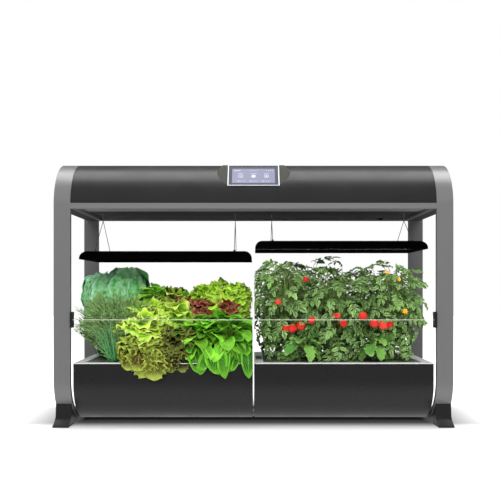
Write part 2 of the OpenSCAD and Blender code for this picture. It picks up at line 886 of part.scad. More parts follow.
module wire_eyelets(side, top) {
    color("silver") sided(side) for (x = [hanger_in, hanger_out]) for (s = [-1, 1])
        translate([x, s * wire_spread, top]) {
            cylinder(h = wire_end_h, r = eyelet_r);
            translate([0, 0, -lamp_t - 1]) cylinder(h = lamp_t + 1, r = eyelet_stem_r);
        }
}

// ---- trellis

module trellis_clips() {
    face = inner_x - slide_fit;
    color([0.04, 0.04, 0.04]) for (side = [-1, 1]) sided(side) difference() {
        union() {
            box(
                [face - clip_w, -half_d - clip_front, string_z - clip_h / 2],
                [face, -half_d + clip_back, string_z + clip_h / 2]
            );
            // tongue that slides in the loop's slot
            box(
                [face, -loop_mid_y - slot_w / 2 + slide_fit, string_z - clip_h / 2],
                [inner_x + slot_deep - slide_fit, -loop_mid_y + slot_w / 2 - slide_fit, string_z + clip_h / 2]
            );
        }
        rod_x(face - clip_w - eps, face - clip_w + string_seat, string_y, string_z, string_r + shaft_fit);
    }
}

module trellis_string() {
    end = inner_x - slide_fit - clip_w + string_seat;
    color([0.85, 0.86, 0.84]) rod_x(-end, end, string_y, string_z, string_r);
}

module trellis_bead() {
    bore = string_r + shaft_fit;
    color("white") translate([0, string_y, string_z]) rotate([0, 90, 0]) rotate_extrude()
        intersection() {
            circle(bead_r);
            translate([bore, -bead_r]) square([bead_r, 2 * bead_r]);
        }
}

// ---- bowls and deck

// The bowl's outer block, drawn in by inset, up to the height top
module bowl_block(inset, top) {
    intersection() {
        along_x(bowl_x0 + inset, bowl_x1 - inset) intersection() {
            loop_outline(inset);
            translate([-half_d, 0]) square([loop_depth, top]);
        }
        linear_extrude(top + eps) rounded(
            bowl_x0 + inset, bowl_x1 - inset, -half_d + inset, half_d - inset,
            max(bowl_edge_r - inset, bowl_edge_least)
        );
    }
}

module bowl(side) {
    color([0.18, 0.18, 0.18]) sided(side) difference() {
        bowl_block(0, bowl_top);
        difference() {
            bowl_block(bowl_t, bowl_top + eps);
            box([0, -groove_y - bowl_t, 0], [inner_x, groove_y + bowl_t, bowl_floor]);
        }
        // groove over the support rails
        box([0, -groove_y, 0], [inner_x, groove_y, beam_top]);
    }
}

module deck_rim(side) {
    inset = bowl_t + fit;
    color([0.9, 0.9, 0.9]) sided(side) difference() {
        union() {
            intersection() {
                bowl_block(0, deck_z);
                box([0, -loop_depth, bowl_top], [inner_x, loop_depth, deck_z]);
            }
            intersection() {
                bowl_block(inset, deck_z);
                box([0, -loop_depth, rim_z], [inner_x, loop_depth, deck_z]);
            }
        }
        box([panel_x0, panel_y - panel_d / 2, panel_z], [
            panel_x0 + panel_w, panel_y + panel_d / 2, deck_z + eps
        ]);
        box([panel_x0 + rim_ledge, panel_y - panel_d / 2 + rim_ledge, 0], [
            panel_x0 + panel_w - rim_ledge, panel_y + panel_d / 2 - rim_ledge, deck_z
        ]);
        // fill opening, and the sockets of its door's pivots
        box([port_x0, panel_y - port_l / 2, 0], [port_x1, panel_y + port_l / 2, deck_z + eps]);
        rod_y(
            panel_y - port_l / 2 - pivot_l, panel_y + port_l / 2 + pivot_l, door_x, door_z,
            pivot_r + shaft_fit
        );
    }
}

module deck_panel(side) {
    color([0.25, 0.26, 0.25]) sided(side) difference() {
        box([panel_x0 + fit, panel_y - panel_d / 2 + fit, panel_z], [
            panel_x0 + panel_w - fit, panel_y + panel_d / 2 - fit, panel_top
        ]);
        for (p = pods) translate([p[0], p[1], panel_z - eps])
            cylinder(h = panel_t + 2 * eps, r = basket_r + fit);
    }
}

module fill_door(side) {
    y0 = panel_y - door_l / 2;
    y1 = panel_y + door_l / 2;
    color([0.12, 0.12, 0.12]) sided(side) difference() {
        union() {
            box([port_x0 + door_gap, y0, door_top - door_t], [door_x - leaf_end, y1, door_top]);
            rod_y(y0, y1, door_x, door_z, barrel_r);
            rod_y(y0 - pivot_l + slide_fit, y1 + pivot_l - slide_fit, door_x, door_z, pivot_r);
        }
        // thumb notch in the free edge
        translate([port_x0, panel_y, door_top - door_t - eps])
            cylinder(h = door_t + 2 * eps, r = notch_r);
    }
}

// ---- pods

module at_pods() {
    for (side = [-1, 1]) sided(side) for (p = pods) translate([p[0], p[1], 0]) children();
}

module pod_baskets() {
    color([0.1, 0.1, 0.1]) at_pods() difference() {
        union() {
            translate([0, 0, basket_z]) cylinder(h = basket_h + cup_t / 2, r = basket_r);
            translate([0, 0, panel_top]) cylinder(h = cup_t, r = label_r);
        }
        translate([0, 0, basket_z + basket_t]) cylinder(h = label_z, r = basket_r - basket_t);
        for (a = [0, 90]) rotate([0, 0, a])
            translate([-window_w / 2, -basket_r - eps, basket_z + window_up])
                cube([window_w, 2 * basket_r + 2 * eps, window_h]);
    }
}

module pod_sponges() {
    low = basket_z + basket_t;
    color([0.35, 0.24, 0.15]) at_pods() translate([0, 0, low])
        cylinder(h = sponge_top - low, r = basket_r - basket_t - sponge_gap);
}

module pod_labels() {
    color([0.75, 0.85, 0.2]) at_pods() translate([0, 0, label_z]) difference() {
        cylinder(h = label_t, r = label_r);
        translate([0, 0, -eps]) cylinder(h = label_t + 2 * eps, r = label_hole_r);
    }
}

// ---- pumps

module pump_housings() {
    color([0.1, 0.1, 0.1]) for (side = [-1, 1]) sided(side) translate([bowl_x, 0, bowl_floor]) {
        difference() {
            union() {
                cylinder(h = pump_h, r = pump_r);
                translate([0, 0, pump_h - eps]) cylinder(h = outlet_h + eps, r = outlet_r);
            }
            translate([0, 0, pump_t]) cylinder(h = pump_h - 2 * pump_t, r = pump_r - pump_t);
            cylinder(h = 2 * pump_h, r = outlet_r - outlet_t);
            for (a = [0:45:135]) rotate([0, 0, a])
                translate([-pump_slot[0] / 2, -pump_r - eps, pump_slot_up])
                    cube([pump_slot[0], 2 * pump_r + 2 * eps, pump_slot[1]]);
        }
        // spindle on its own foot
        cylinder(h = pump_t, r = outlet_r);
        cylinder(h = pump_h - pump_t - spindle_gap, r = spindle_r);
    }
}

module pump_filters() {
    color([0.25, 0.35, 0.6]) for (side = [-1, 1]) sided(side)
        translate([bowl_x, 0, bowl_floor]) difference() {
            cylinder(h = filter_share * pump_h, r = pump_r + fit + filter_t);
            translate([0, 0, -eps]) cylinder(h = pump_h, r = pump_r + fit);
        }
}

module impeller(side) {
    color("white") sided(side) translate([bowl_x, 0, impeller_z]) difference() {
        union() {
            cylinder(h = blade_h, r = hub_r);
            for (i = [0:blade_count - 1]) rotate([0, 0, i * 360 / blade_count])
                translate([0, -blade_t / 2, 0]) cube([impeller_r, blade_t, blade_h]);
        }
        translate([0, 0, -eps]) cylinder(h = blade_h + 2 * eps, r = spindle_r + shaft_fit);
    }
}

// ---- plants

// One ring of a plant's skin, of radius 1, with lobes round it
function plant_ring(lobes, depth, turn) = [
    for (i = [0:plant_sides - 1])
        let (a = i * 360 / plant_sides, q = 1 - depth / 2 + depth / 2 * cos(lobes * a + turn))
            [q * cos(a), q * sin(a)]
];

// A closed plant on the pod numbered i: a stem, then rings given as
// [share of the height, share of the radius]. Plants at the edges of a bowl lean out over it.
module plant(i, side, top, rings, lobes = 5, depth = 0.25) {
    pod = pods[i];
    row = floor(i / pod_columns);
    outer = row != 1 && i % pod_columns == pod_columns - 1;
    crown = label_z + label_t + crown_up;
    lean = [outer ? side_lean : 0, row == 0 ? -front_lean : row == 2 ? back_lean : 0];
    reach = [
        plant_x * (outer ? side_reach : 1),
        plant_y * (row == 0 ? front_reach : row == 2 ? back_reach : 1)
    ];
    // height, half width and depth, place of the middle and depth of the lobes of each ring
    all = concat(
        [for (z = [sponge_top, label_z + label_t + stem_h]) [z, [stem_r, stem_r], [0, 0], 0]],
        [for (p = rings) [crown + p[0] * (top - crown), p[1] * reach, lean, depth]]
    );
    n = len(all);
    skin = [
        for (k = [0:n - 1]) for (q = plant_ring(lobes, all[k][3], k * plant_twist + i * plant_turn)) [
            side * (q[0] * all[k][1][0] + all[k][2][0]), q[1] * all[k][1][1] + all[k][2][1],
            all[k][0]
        ]
    ];
    faces = concat(
        [[for (j = [0:plant_sides - 1]) j]],
        [[for (j = [0:plant_sides - 1]) n * plant_sides - 1 - j]],
        [for (i = [0:n - 2]) for (j = [0:plant_sides - 1]) for (k = [0, 1])
            let (
                a = i * plant_sides + j, b = i * plant_sides + (j + 1) % plant_sides,
                c = a + plant_sides, d = b + plant_sides
            )
            k == 0 ? [a, c, b] : [b, c, d]]
    );
    // mirroring turns the faces inside out, so the left plants' faces are read backwards
    facing = side > 0 ? faces : [for (f = faces) [for (j = [len(f) - 1:-1:0]) f[j]]];
    translate([side * pod[0], pod[1], 0]) polyhedron(points = skin, faces = facing, convexity = 6);
}

// Outlines: shares of the height and of the width, from the stem up
ball_leaf = [[0, 0.5], [0.2, 0.85], [0.45, 1], [0.7, 0.96], [0.9, 0.7], [1, 0.25]];
rosette = [[0, 0.5], [0.12, 0.85], [0.35, 1], [0.65, 0.95], [0.88, 0.7], [1, 0.25]];
tall_bush = [
    [0, 0.5], [0.12, 0.88], [0.26, 1], [0.42, 0.88], [0.56, 1], [0.72, 0.85], [0.88, 0.92], [1, 0.35]
];
tuft = [[0, 0.4], [0.25, 0.7], [0.6, 0.95], [0.85, 1], [1, 0.55]];

// Pods are numbered from the front row's inner end: 0-3 front, 4-7 middle, 8-11 back.
// Each plant is given as [pod, distance of its top below the tallest one].
module plants_cabbage() {
    color([0.35, 0.6, 0.4]) for (p = [[11, 0], [10, 48]])
        plant(p[0], -1, plants_top_left - p[1], ball_leaf, 5, 0.16);
}

module plants_herbs() {
    color([0.4, 0.6, 0.3]) for (p = [[7, 24], [3, 62]])
        plant(p[0], -1, plants_top_left - p[1], tuft, 5, 0.2);
}

module plants_lettuce() {
    color([0.6, 0.8, 0.2]) {
        for (p = [[2, 130], [1, 110], [0, 90], [6, 66], [5, 72], [4, 56], [9, 44], [8, 34]])
            plant(p[0], -1, plants_top_left - p[1], rosette);
        for (i = [1, 3]) plant(i, 1, deck_z + salad_h, rosette);
    }
}

module plants_tomato() {
    color([0.25, 0.5, 0.15]) for (p = [[4, 10], [5, 36], [7, 18], [8, 0], [9, 4], [10, 14], [11, 24]])
        plant(p[0], 1, plants_top_right - p[1], tall_bush, 5, 0.2);
}

side_loop(-1);  // side_loop_left
side_loop(1);  // side_loop_right
foot(-1);  // foot_left
foot(1);  // foot_right
foot_pads();
frame_screws();
support_rails();
hood_rails();
hood_shell();
hood_ceiling();
hood_end(-1);  // hood_end_left
hood_end(1);  // hood_end_right
control_pod();
display_bezel();
display_screen();
control_board();
power_supply();
power_inlet();
wire_grippers();
shaft_brackets();
spring_motors();
lift_cables();
lift_shaft(-1);  // lift_shaft_left
lift_shaft(1);  // lift_shaft_right
cable_drums(-1);  // cable_drums_left
cable_drums(1);  // cable_drums_right
lamp_wires(-1, lamp_top_left);  // lamp_wires_left
lamp_wires(1, lamp_top_right);  // lamp_wires_right
lamp_housing(-1, lamp_top_left);  // lamp_housing_left
lamp_housing(1, lamp_top_right);  // lamp_housing_right
led_board(-1, lamp_top_left);  // led_board_left
led_board(1, lamp_top_right);  // led_board_right
led_chips(-1, lamp_top_left);  // led_chips_left
led_chips(1, lamp_top_right);  // led_chips_right
lamp_lens(-1, lamp_top_left);  // lamp_lens_left
lamp_lens(1, lamp_top_right);  // lamp_lens_right
wire_eyelets(-1, lamp_top_left);  // wire_eyelets_left
wire_eyelets(1, lamp_top_right);  // wire_eyelets_right
trellis_clips();
trellis_string();
trellis_bead();
bowl(-1);  // bowl_left
bowl(1);  // bowl_right
deck_rim(-1);  // deck_rim_left
deck_rim(1);  // deck_rim_right
deck_panel(-1);  // deck_panel_left
deck_panel(1);  // deck_panel_right
fill_door(-1);  // fill_door_left
fill_door(1);  // fill_door_right
pod_baskets();
pod_sponges();
pod_labels();
pump_housings();
pump_filters();
impeller(-1);  // impeller_left
impeller(1);  // impeller_right
plants_cabbage();
plants_herbs();
plants_lettuce();
plants_tomato();
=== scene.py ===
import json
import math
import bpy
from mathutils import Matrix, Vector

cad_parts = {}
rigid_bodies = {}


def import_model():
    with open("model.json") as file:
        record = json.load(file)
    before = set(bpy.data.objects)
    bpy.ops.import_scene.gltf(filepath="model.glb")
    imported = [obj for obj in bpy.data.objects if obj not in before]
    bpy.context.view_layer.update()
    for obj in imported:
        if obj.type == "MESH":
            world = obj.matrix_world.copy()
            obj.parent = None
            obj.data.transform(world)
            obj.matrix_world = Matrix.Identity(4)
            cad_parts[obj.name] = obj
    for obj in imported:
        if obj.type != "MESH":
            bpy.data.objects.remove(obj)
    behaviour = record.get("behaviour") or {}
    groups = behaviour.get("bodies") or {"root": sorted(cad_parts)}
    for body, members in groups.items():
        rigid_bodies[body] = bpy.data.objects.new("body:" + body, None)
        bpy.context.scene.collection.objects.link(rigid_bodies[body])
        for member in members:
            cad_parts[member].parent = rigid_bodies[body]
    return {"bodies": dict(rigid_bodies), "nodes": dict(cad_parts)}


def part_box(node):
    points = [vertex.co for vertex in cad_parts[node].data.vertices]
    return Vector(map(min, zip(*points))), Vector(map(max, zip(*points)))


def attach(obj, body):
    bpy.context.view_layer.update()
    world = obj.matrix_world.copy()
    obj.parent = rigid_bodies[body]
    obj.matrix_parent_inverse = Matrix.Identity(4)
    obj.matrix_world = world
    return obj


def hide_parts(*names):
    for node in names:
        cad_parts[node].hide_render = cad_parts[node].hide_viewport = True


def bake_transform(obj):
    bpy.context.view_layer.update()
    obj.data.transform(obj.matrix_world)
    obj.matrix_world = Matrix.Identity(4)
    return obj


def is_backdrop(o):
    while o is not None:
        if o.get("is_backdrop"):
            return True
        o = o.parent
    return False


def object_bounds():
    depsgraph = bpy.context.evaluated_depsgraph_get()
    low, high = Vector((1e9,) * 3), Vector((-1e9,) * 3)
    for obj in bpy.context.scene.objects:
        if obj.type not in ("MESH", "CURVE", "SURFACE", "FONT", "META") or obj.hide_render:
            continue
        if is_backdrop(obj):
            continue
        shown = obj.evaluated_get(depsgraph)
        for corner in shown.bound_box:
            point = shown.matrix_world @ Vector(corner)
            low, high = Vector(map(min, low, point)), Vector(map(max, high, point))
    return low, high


bl_info = {
    "name": "Countertop hydroponic garden",
    "version": (1, 0, 0),
    "blender": (4, 5, 0),
    "location": "3D View > Sidebar > Garden",
    "description": "Dresses the packed garden: its finishes, planting, display, wires and studio",
    "category": "Add Mesh",
}

import bmesh
import bpy
import numpy as np
from mathutils import Euler

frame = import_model()

MM = 0.001  # a millimetre, in metres
GOLDEN_TURN = math.radians(137.5)  # from one leaf to the next, round a stem
FLOOR_REACH = 6.0  # half the width of the floor, in metres
DUST_GREY = (0.33, 0.32, 0.3)

# The room that leaves have, in millimetres
WINDOW_HALF, WINDOW_FOOT = 128, 60  # a side loop's window: half its depth, and its lowest height
LEAN_OUT = 39  # how far leaves lean out past the end of a bowl, through that window
END_GAP = 1  # inside the end of a bowl, where no window lets them out
MIDDLE_GAP = 2  # to the middle of the garden, between the bowls
BACK_REACH = 140  # behind the middle
FRONT_REACH = 164  # in front of the middle, under the string
UNDER_STRING = 16  # height over the pods up to which leaves may reach past the string
LAMP_GAP = 9  # under the lamps
DECK_GAP = 0.8  # over the decks
RIM_GAP = 1.5  # in front of a bowl
CURL_DROP, CURL_DEPTH = 6, 20  # leaves this far under a deck's top and behind a bowl's front curl over it
DOOR_ROOM = (10, 8)  # beside and behind an open fill door
CRUSHED = 18.0  # a leaf that would have to move further than this is left out

# Tomatoes and flowers: place across, height and radius of each, in millimetres
FRUIT_FRONT = -125.0  # the front of every fruit
TOMATOES = (
    (75, 225, 9), (90, 224.5, 11.5), (110, 230, 10.8), (135, 244, 9.5), (186, 253, 7), (196, 254, 7.5),
    (209, 236, 9.5), (255, 253, 10.5), (281, 236, 10.8), (302, 231, 11.5), (317, 233.5, 8.5),
    (57, 286, 8), (121.5, 339, 7),
)
FLOWERS = ((311, 353, 5), (336, 336.5, 5), (351, 262, 7))


# ---- places taken from the frame


def spans(node):
    """The lowest and highest corner of a node, in millimetres."""
    low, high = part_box(node)
    return np.array(low) / MM, np.array(high) / MM


def solids(node):
    """Each separate solid of a node, in mm: its low and high corner, and the middle of its foot."""
    mesh = bmesh.new()
    mesh.from_mesh(frame["nodes"][node].data)
    bmesh.ops.remove_doubles(mesh, verts=mesh.verts, dist=1e-6)
    found, seen = [], set()
    for start in mesh.verts:
        if start in seen:
            continue
        island, edge = [], [start]
        seen.add(start)
        while edge:
            here = edge.pop()
            island.append(here.co[:])
            for link in here.link_edges:
                other = link.other_vert(here)
                if other not in seen:
                    seen.add(other)
                    edge.append(other)
        points = np.array(island) / MM
        foot = points[points[:, 2] < points[:, 2].min() + 0.01]
        found.append((points.min(0), points.max(0), foot.mean(0)))
    mesh.free()
    return sorted(found, key=lambda solid: (round(solid[2][1], 3), abs(solid[2][0])))


BOWL_LOW, BOWL_HIGH = spans("bowl_right")
DECK_TOP = spans("deck_rim_right")[1][2]
DOOR_LOW, DOOR_HIGH = spans("fill_door_right")
DOOR_REACH = DOOR_HIGH[2] + DOOR_HIGH[0] - DOOR_LOW[0]  # height of an open fill door
LABEL_TOP = spans("pod_labels")[1][2]
STRING_BACK = spans("trellis_string")[1][1] + 0.7
LAMP_LOW = {side: spans("lamp_housing_" + side)[0][2] for side in ("left", "right")}
SIDES = {"left": -1, "right": 1}


# ---- node trees


def feed(tree, node, inputs):
    """Links each input of a node to a socket, or sets it to its constant."""
    for key, value in inputs.items():
        if isinstance(value, bpy.types.NodeSocket):
            tree.links.new(value, node.inputs[key])
        else:
            node.inputs[key].default_value = value


def add(tree, kind, inputs=None, **settings):
    """A node of a kind, with its settings made and its inputs fed."""
    made = tree.nodes.new("ShaderNode" + kind)
    for key, value in settings.items():
        setattr(made, key, value)
    feed(tree, made, inputs or {})
    return made


def maths(tree, operation, *values):
    """The outcome of one operation on sockets or numbers."""
    return add(tree, "Math", dict(enumerate(values)), operation=operation).outputs[0]


def times(tree, first, second):
    return maths(tree, "MULTIPLY", first, second)


def added(tree, value, share, base):
    """A value's share on top of a base."""
    return maths(tree, "MULTIPLY_ADD", value, share, base)


def spread(tree, value, low, high, to_low=0.0, to_high=1.0):
    """A value's range low to high, smoothly turned into another range."""
    inputs = {"Value": value, 1: low, 2: high, 3: to_low, 4: to_high}
    return add(tree, "MapRange", inputs, interpolation_type="SMOOTHSTEP").outputs[0]


def blend_colour(tree, share, first, second):
    """From the first colour to the second by a share. Each is a socket or three values."""
    made = add(tree, "Mix", {0: share}, data_type="RGBA")
    for key, value in ((6, first), (7, second)):
        feed(tree, made, {key: value if isinstance(value, bpy.types.NodeSocket) else (*value, 1.0)})
    return made.outputs[2]


def toned(colour, factor, lift=0.0):
    """A colour made darker or lighter."""
    return tuple(min(1.0, value * factor + lift) for value in colour)


def object_place(tree, stretch=(1, 1, 1)):
    """Places on the piece itself, in metres, stretched along each axis."""
    place = add(tree, "TexCoord").outputs["Object"]
    return add(tree, "Mapping", {"Vector": place, "Scale": stretch}).outputs[0]


def noise(tree, place, scale, detail, rough=0.55):
    """Cloudy values round a half, their scale in noise cells a metre."""
    inputs = {"Vector": place, "Scale": scale, "Detail": detail, "Roughness": rough}
    return add(tree, "TexNoise", inputs).outputs["Fac"]


def plant_tints_and_shade(tree):
    """The three tints of a plant's points: each leaf's own, its margin, and painted shade at leaf bases and
    deep in the plant.
    """
    tint = add(tree, "Attribute", attribute_name="tint").outputs["Color"]
    return add(tree, "SeparateColor", {0: tint}).outputs


# ---- effects that several finishes share


def effect(name, inputs, outputs):
    """An empty node group with named float inputs and outputs, and its two end nodes."""
    group = bpy.data.node_groups.new(name, "ShaderNodeTree")
    for label, default in inputs:
        made = group.interface.new_socket(label, in_out="INPUT", socket_type="NodeSocketFloat")
        made.default_value = default
    for label in outputs:
        group.interface.new_socket(label, in_out="OUTPUT", socket_type="NodeSocketFloat")
    return group, group.nodes.new("NodeGroupInput"), group.nodes.new("NodeGroupOutput")


def make_moulded_grain():
    """The fine spark-eroded texture of a moulding, and the soft unevenness of its gloss."""
    group, given, result = effect("Moulded grain", [("Scale", 900.0)], ["Height", "Mottle"])
    place = object_place(group)
    cells = add(group, "TexVoronoi", {"Vector": place, "Scale": given.outputs[0]}).outputs["Distance"]
    fine = noise(group, place, given.outputs[0], 2.0)
    feed(group, result, {0: added(group, cells, 0.5, fine), 1: noise(group, place, 14.0, 4.0, 0.6)})
    return group


def make_edge_wear():
    """Where edges and corners have rubbed: 1 on a sharp edge, broken up by noise."""
    group, given, result = effect("Edge wear", [("Reach", 0.0012)], ["Mask"])
    rounded = add(group, "Bevel", {"Radius": given.outputs[0]}, samples=4).outputs[0]
    flat = add(group, "NewGeometry").outputs["Normal"]
    likeness = add(group, "VectorMath", {0: rounded, 1: flat}, operation="DOT_PRODUCT")
    edge = spread(group, likeness.outputs["Value"], 0.995, 0.8)
    patches = spread(group, noise(group, object_place(group), 160.0, 5.0, 0.7), 0.42, 0.62)
    feed(group, result, {0: times(group, edge, patches)})
    return group


def make_settled_dust():
    """Dust on surfaces that face up, thicker in some patches."""
    group, given, result = effect("Settled dust", [("Amount", 1.0)], ["Mask"])
    facing = add(group, "SeparateXYZ", {0: add(group, "NewGeometry").outputs["Normal"]}).outputs[2]
    up = spread(group, facing, 0.55, 1.0)
    specks = spread(group, noise(group, object_place(group), 420.0, 3.0, 0.7), 0.5, 0.72)
    clouds = spread(group, noise(group, object_place(group), 22.0, 4.0), 0.35, 0.75)
    both = added(group, specks, 0.5, clouds)
    feed(group, result, {0: times(group, times(group, both, up), given.outputs[0])})
    return group


def make_drawn_lines():
    """Long fine lines along X, as on drawn, brushed or extruded metal."""
    group, given, result = effect("Drawn lines", [("Scale", 1500.0)], ["Height", "Shade"])
    lines = noise(group, object_place(group, (0.01, 1, 1)), given.outputs[0], 3.0, 0.7)
    broad = noise(group, object_place(group, (0.02, 1, 1)), 260.0, 2.0)
    feed(group, result, {0: lines, 1: added(group, lines, 0.5, times(group, broad, 0.5))})
    return group


def make_leaf_veins():
    """A midrib with side veins, from the leaf's own map: X across, Y from stalk to tip."""
    group, given, result = effect(
        "Leaf veins", [("Veins", 7.0), ("Width", 0.12), ("Slant", 0.45)], ["Mask", "Height"]
    )
    veins, width, slant = given.outputs[:3]
    across, along, _ = add(group, "SeparateXYZ", {0: add(group, "UVMap", uv_map="leaf").outputs[0]}).outputs
    across = maths(group, "ABSOLUTE", added(group, across, 2.0, -1.0))
    slanted = maths(group, "SUBTRACT", along, times(group, across, slant))
    wave = maths(group, "FRACT", times(group, slanted, veins))
    near = maths(group, "ABSOLUTE", maths(group, "SUBTRACT", wave, 0.5))
    side = maths(group, "SUBTRACT", 1.0, spread(group, near, 0.0, width))
    fading = maths(group, "SUBTRACT", 1.0, spread(group, across, 0.35, 1.0))
    taper = added(group, along, -0.06, 0.075)
    rib = maths(group, "SUBTRACT", 1.0, spread(group, across, times(group, taper, 0.4), taper))
    mask = maths(group, "MAXIMUM", rib, times(group, times(group, side, fading), 0.7))
    feed(group, result, {0: mask, 1: maths(group, "SUBTRACT", 1.0, mask)})
    return group


def make_leaf_blisters():
    """The puckered skin between a leaf's veins, and its uneven green."""
    group, given, result = effect("Leaf blisters", [("Scale", 260.0)], ["Height", "Mottle"])
    place = object_place(group)
    cells = {"Vector": place, "Scale": given.outputs[0], "Smoothness": 0.8}
    domes = add(group, "TexVoronoi", cells, feature="SMOOTH_F1").outputs["Distance"]
    feed(group, result, {0: maths(group, "SUBTRACT", 1.0, domes), 1: noise(group, place, 45.0, 4.0, 0.65)})
    return group


EFFECTS = {}


def place_effect(tree, maker, **values):
    """One of the shared effects, made once and placed in a material with its own values."""
    if maker not in EFFECTS:
        EFFECTS[maker] = maker()
    made = tree.nodes.new("ShaderNodeGroup")
    made.node_tree = EFFECTS[maker]
    feed(tree, made, values)
    return made.outputs


def start_finish(name):
    """The material of a slot, emptied, with a Principled shader on its output."""
    material = bpy.data.materials.get(name) or bpy.data.materials.new(name)
    material.use_nodes = True
    tree = material.node_tree
    tree.nodes.clear()
    shader = add(tree, "BsdfPrincipled")
    add(tree, "OutputMaterial", {0: shader.outputs[0]})
    return material, tree, shader


def bump(tree, height, distance):
    """A normal that a height has raised, by a distance in metres."""
    return add(tree, "Bump", {"Height": height, "Distance": distance, "Strength": 1.0}).outputs[0]


def moulded(name, colour, rough, grain=900.0, depth=0.02, wear=0.5, dust=0.25, coat=0.0, shine=0.4):
    """Moulded plastic or rubber: grain, uneven gloss, rubbed edges and a little dust."""
    _, tree, shader = start_finish(name)
    height, mottle = place_effect(tree, make_moulded_grain, Scale=grain)
    worn = place_effect(tree, make_edge_wear)[0]
    dusty = place_effect(tree, make_settled_dust, Amount=dust)[0]
    shade = blend_colour(tree, spread(tree, mottle, 0.3, 0.7), toned(colour, 0.95), toned(colour, 1.05))
    shade = blend_colour(tree, times(tree, worn, wear), shade, toned(colour, 1.35, 0.012))
    gloss = spread(tree, mottle, 0.25, 0.75, rough - 0.06, rough + 0.06)
    feed(tree, shader, {
        "Base Color": blend_colour(tree, times(tree, dusty, 0.35), shade, DUST_GREY),
        "Roughness": added(tree, dusty, 0.25, gloss),
        "Specular IOR Level": shine,
        "Coat Weight": coat,
        "Coat Roughness": 0.18,
        "Normal": bump(tree, height, depth * MM),
    })


def metal(name, colour, rough, lines=1500.0):
    """Bare metal with drawn lines, and rubbed brighter along its edges."""
    _, tree, shader = start_finish(name)
    height, shade = place_effect(tree, make_drawn_lines, Scale=lines)
    worn = place_effect(tree, make_edge_wear, Reach=0.6 * MM)[0]
    tone = blend_colour(tree, spread(tree, shade, 0.3, 0.7), toned(colour, 0.82), colour)
    feed(tree, shader, {
        "Base Color": blend_colour(tree, worn, tone, toned(colour, 1.2)),
        "Metallic": 1.0,
        "Roughness": spread(tree, shade, 0.3, 0.7, rough - 0.06, rough + 0.08),
        "Normal": bump(tree, height, 0.01 * MM),
    })


def satin_paint(name, colour, flake=0.45):
    """Metallic paint: fine flakes, a faint orange peel and rubbed edges."""
    _, tree, shader = start_finish(name)
    height, mottle = place_effect(tree, make_moulded_grain, Scale=1800.0)
    worn = place_effect(tree, make_edge_wear, Reach=0.9 * MM)[0]
    flakes = noise(tree, object_place(tree), 5200.0, 1.0)
    shade = blend_colour(tree, spread(tree, flakes, 0.35, 0.65), toned(colour, 0.88), colour)
    feed(tree, shader, {
        "Base Color": blend_colour(tree, times(tree, worn, 0.5), shade, toned(colour, 1.3)),
        "Metallic": flake,
        "Roughness": spread(tree, mottle, 0.3, 0.7, 0.32, 0.41),
        "Normal": bump(tree, height, 0.006 * MM),
    })


def stem_finish(name, colour):
    """A plant's stalk: lengthwise streaks and fine down."""
    material, tree, shader = start_finish(name)
    streaks = noise(tree, object_place(tree, (1, 1, 0.15)), 900.0, 3.0)
    share = added(tree, streaks, 0.5, times(tree, plant_tints_and_shade(tree)[0], 0.5))
    feed(tree, shader, {
        "Base Color": blend_colour(tree, share, toned(colour, 0.6), colour),
        "Roughness": spread(tree, streaks, 0.3, 0.7, 0.45, 0.65),
        "Normal": bump(tree, streaks, 0.1 * MM),
    })
    return material


def fruit_finish(name, colour, second):
    """Taut shiny skin that varies from fruit to fruit, with cloudy patches of a second colour; on the
    tomatoes these are partly painted highlight.
    """
    material, tree, shader = start_finish(name)
    blush_and_highlight = noise(tree, object_place(tree), 90.0, 3.0)
    share = added(tree, blush_and_highlight, 0.6, times(tree, plant_tints_and_shade(tree)[0], 0.5))
    feed(tree, shader, {
        # toward the second colour in cloudy patches: on the tomatoes partly real blush and partly painted
        # highlight
        "Base Color": blend_colour(tree, spread(tree, share, 0.3, 0.9), colour, second),
        "Roughness": spread(tree, blush_and_highlight, 0.3, 0.7, 0.14, 0.22),
        "Normal": bump(tree, noise(tree, object_place(tree), 1500.0, 2.0), 0.02 * MM),
    })
    return material


def soft_foam(name, colour, cell):
    """Open foam or sponge: pits of two sizes, with painted shade in them."""
    _, tree, shader = start_finish(name)
    place = object_place(tree)
    pits = add(tree, "TexVoronoi", {"Vector": place, "Scale": cell}).outputs["Distance"]
    fibre = noise(tree, place, cell * 2, 5.0, 0.75)
    depth = times(tree, spread(tree, pits, 0.05, 0.6), fibre)
    feed(tree, shader, {
        # painted shade: the colour falls to about a third down in the pits
        "Base Color": blend_colour(tree, spread(tree, depth, 0.05, 0.5), toned(colour, 0.35), colour),
        "Roughness": spread(tree, depth, 0, 1, 1.0, 0.85),
        "Normal": bump(tree, depth, 0.5 * MM),
    })


